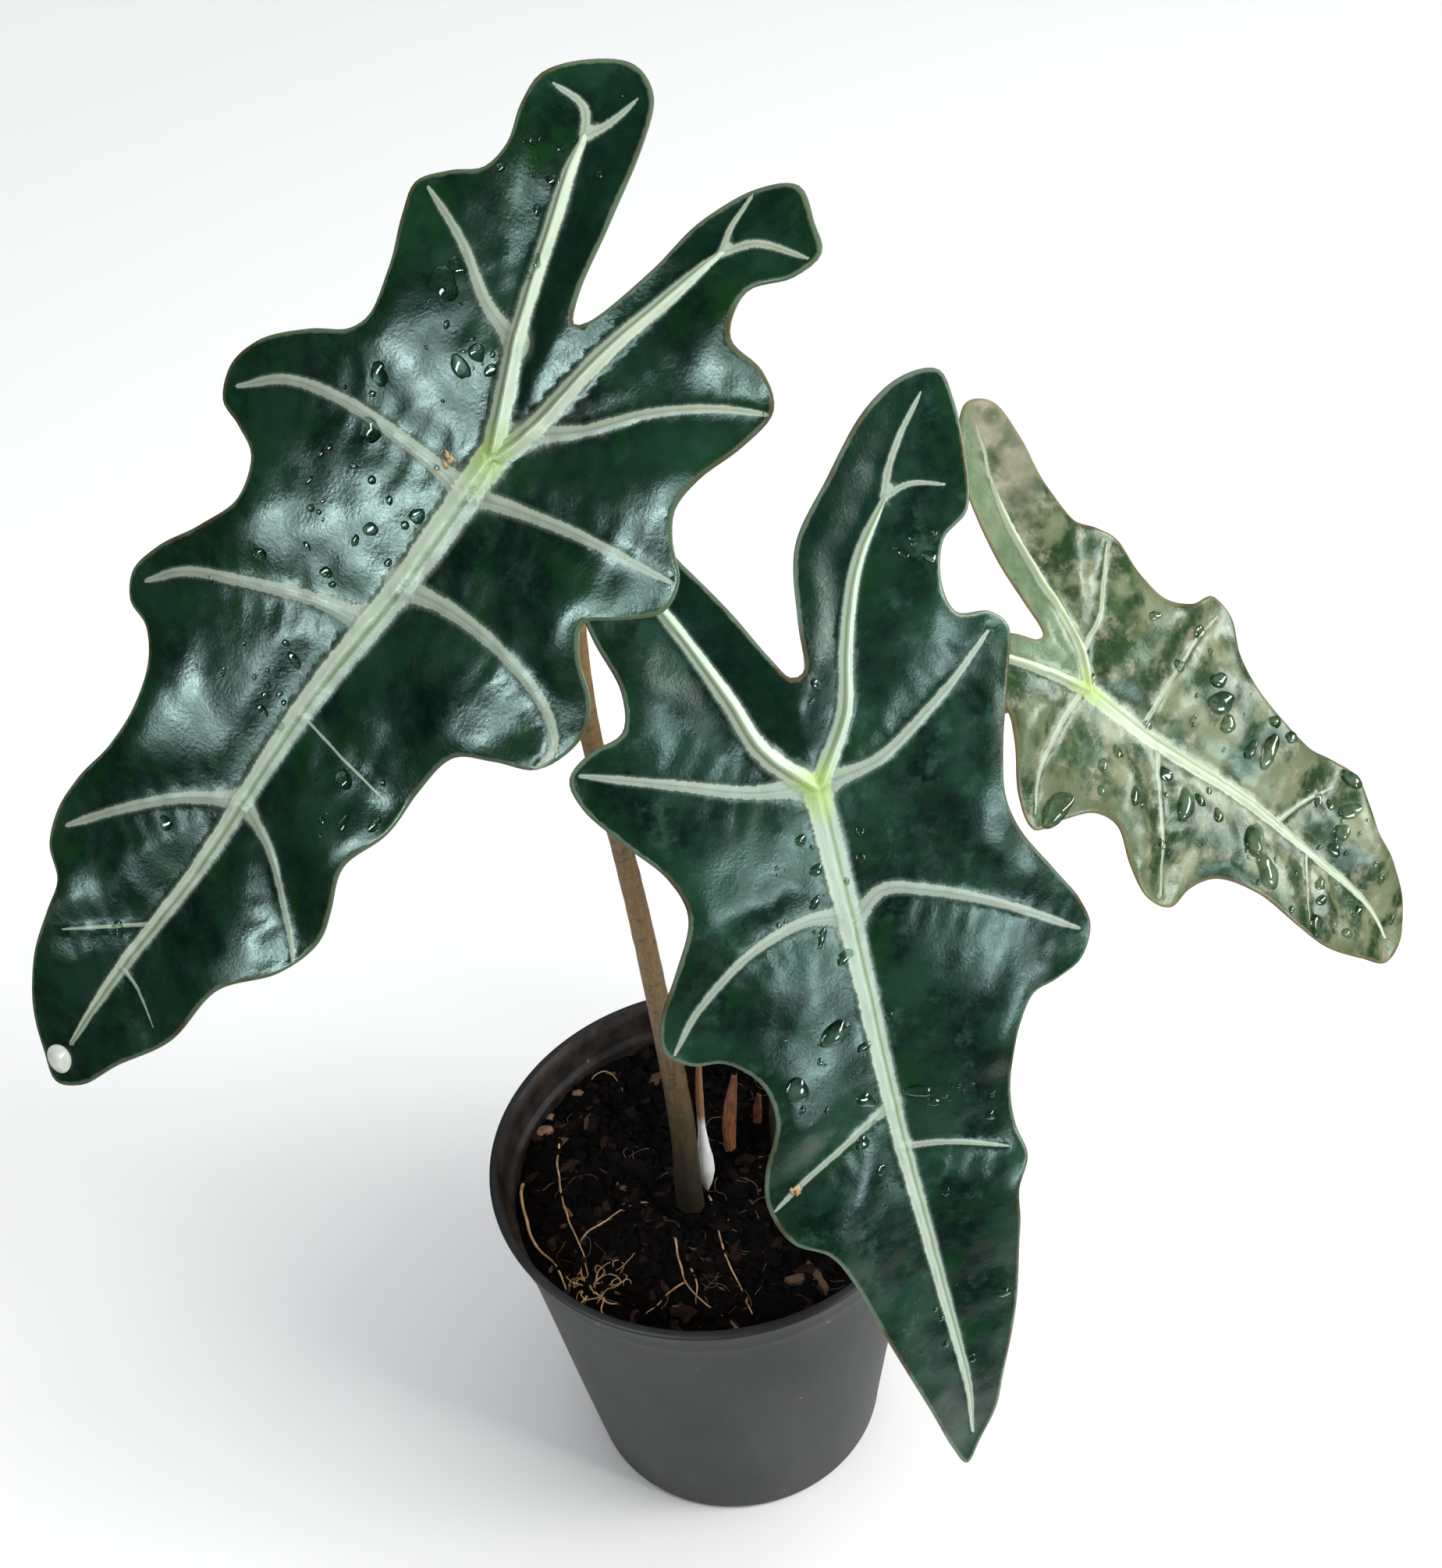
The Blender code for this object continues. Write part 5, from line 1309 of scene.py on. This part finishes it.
def area_light(name, azimuth, elevation, distance, size, watts, colour, target=(0.02, -0.03, 0.22),
               sheen=False, roll=0):
    """A soft box; azimuth 0 is toward -Y and 90 toward +X."""
    light = bpy.data.lights.new(name, "AREA")
    light.shape = "RECTANGLE"
    light.size, light.size_y = size
    light.energy = watts
    light.color = colour
    obj = add_object(name, light)
    az, el = math.radians(azimuth), math.radians(elevation)
    way = Vector((math.sin(az) * math.cos(el), -math.cos(az) * math.cos(el), math.sin(el)))
    obj.location = Vector(target) + way * distance
    lean = Matrix.Rotation(math.radians(roll), 3, "Z").to_quaternion()
    obj.rotation_euler = ((-way).to_track_quat("-Z", "Y") @ lean).to_euler()
    obj.visible_camera = False
    obj.visible_diffuse = not sheen
    return obj


sky = bpy.data.lights.new("overhead", "SUN")
sky.energy = 1.25
sky.angle = math.radians(75)
above = add_object("overhead", sky)
above.rotation_euler = (math.radians(-8), math.radians(6), 0)
above.visible_glossy = False
key = area_light("key", 66, 44, 1.6, (0.8, 0.8), 32, (1.0, 0.99, 0.97))
key.visible_glossy = False
# windows that only show as sheen on the wet blades
LEFT_AT, FRONT_AT, RIGHT_AT = (-0.06, -0.04, 0.31), (0.03, -0.05, 0.25), (0.13, 0.03, 0.21)
area_light("tall_window", -39, 25, 1.3, (0.20, 1.15), 16, (0.86, 0.94, 1.0), LEFT_AT, True, -37)
area_light("bright_pane", -42, 22, 1.3, (0.12, 0.2), 6, (0.95, 0.98, 1.0), LEFT_AT, True, -37)
area_light("low_window", 53, -12, 0.8, (0.22, 0.15), 2.4, (0.84, 0.94, 1.0), FRONT_AT, True)
area_light("right_window", 82, 8, 1.3, (0.95, 0.30), 16, (1.0, 0.96, 0.94), RIGHT_AT, True)

EYE = (12.354 * MM, -380.058 * MM, 568.109 * MM)
PITCH = math.radians(40.871)
ROLL = math.radians(-5.566)
ahead = Vector((0, math.cos(PITCH), -math.sin(PITCH)))
level_right = Vector((1, 0, 0))
level_up = level_right.cross(ahead)
cam_right = level_right * math.cos(ROLL) + level_up * math.sin(ROLL)
cam_up = level_up * math.cos(ROLL) - level_right * math.sin(ROLL)
camera = bpy.data.cameras.new("camera")
camera.lens = 50
camera.sensor_width = 36
camera.sensor_fit = "AUTO"
eye = add_object("camera", camera)
eye.matrix_world = Matrix((
    (cam_right.x, cam_up.x, -ahead.x, EYE[0]),
    (cam_right.y, cam_up.y, -ahead.y, EYE[1]),
    (cam_right.z, cam_up.z, -ahead.z, EYE[2]),
    (0, 0, 0, 1)))
bpy.context.scene.camera = eye
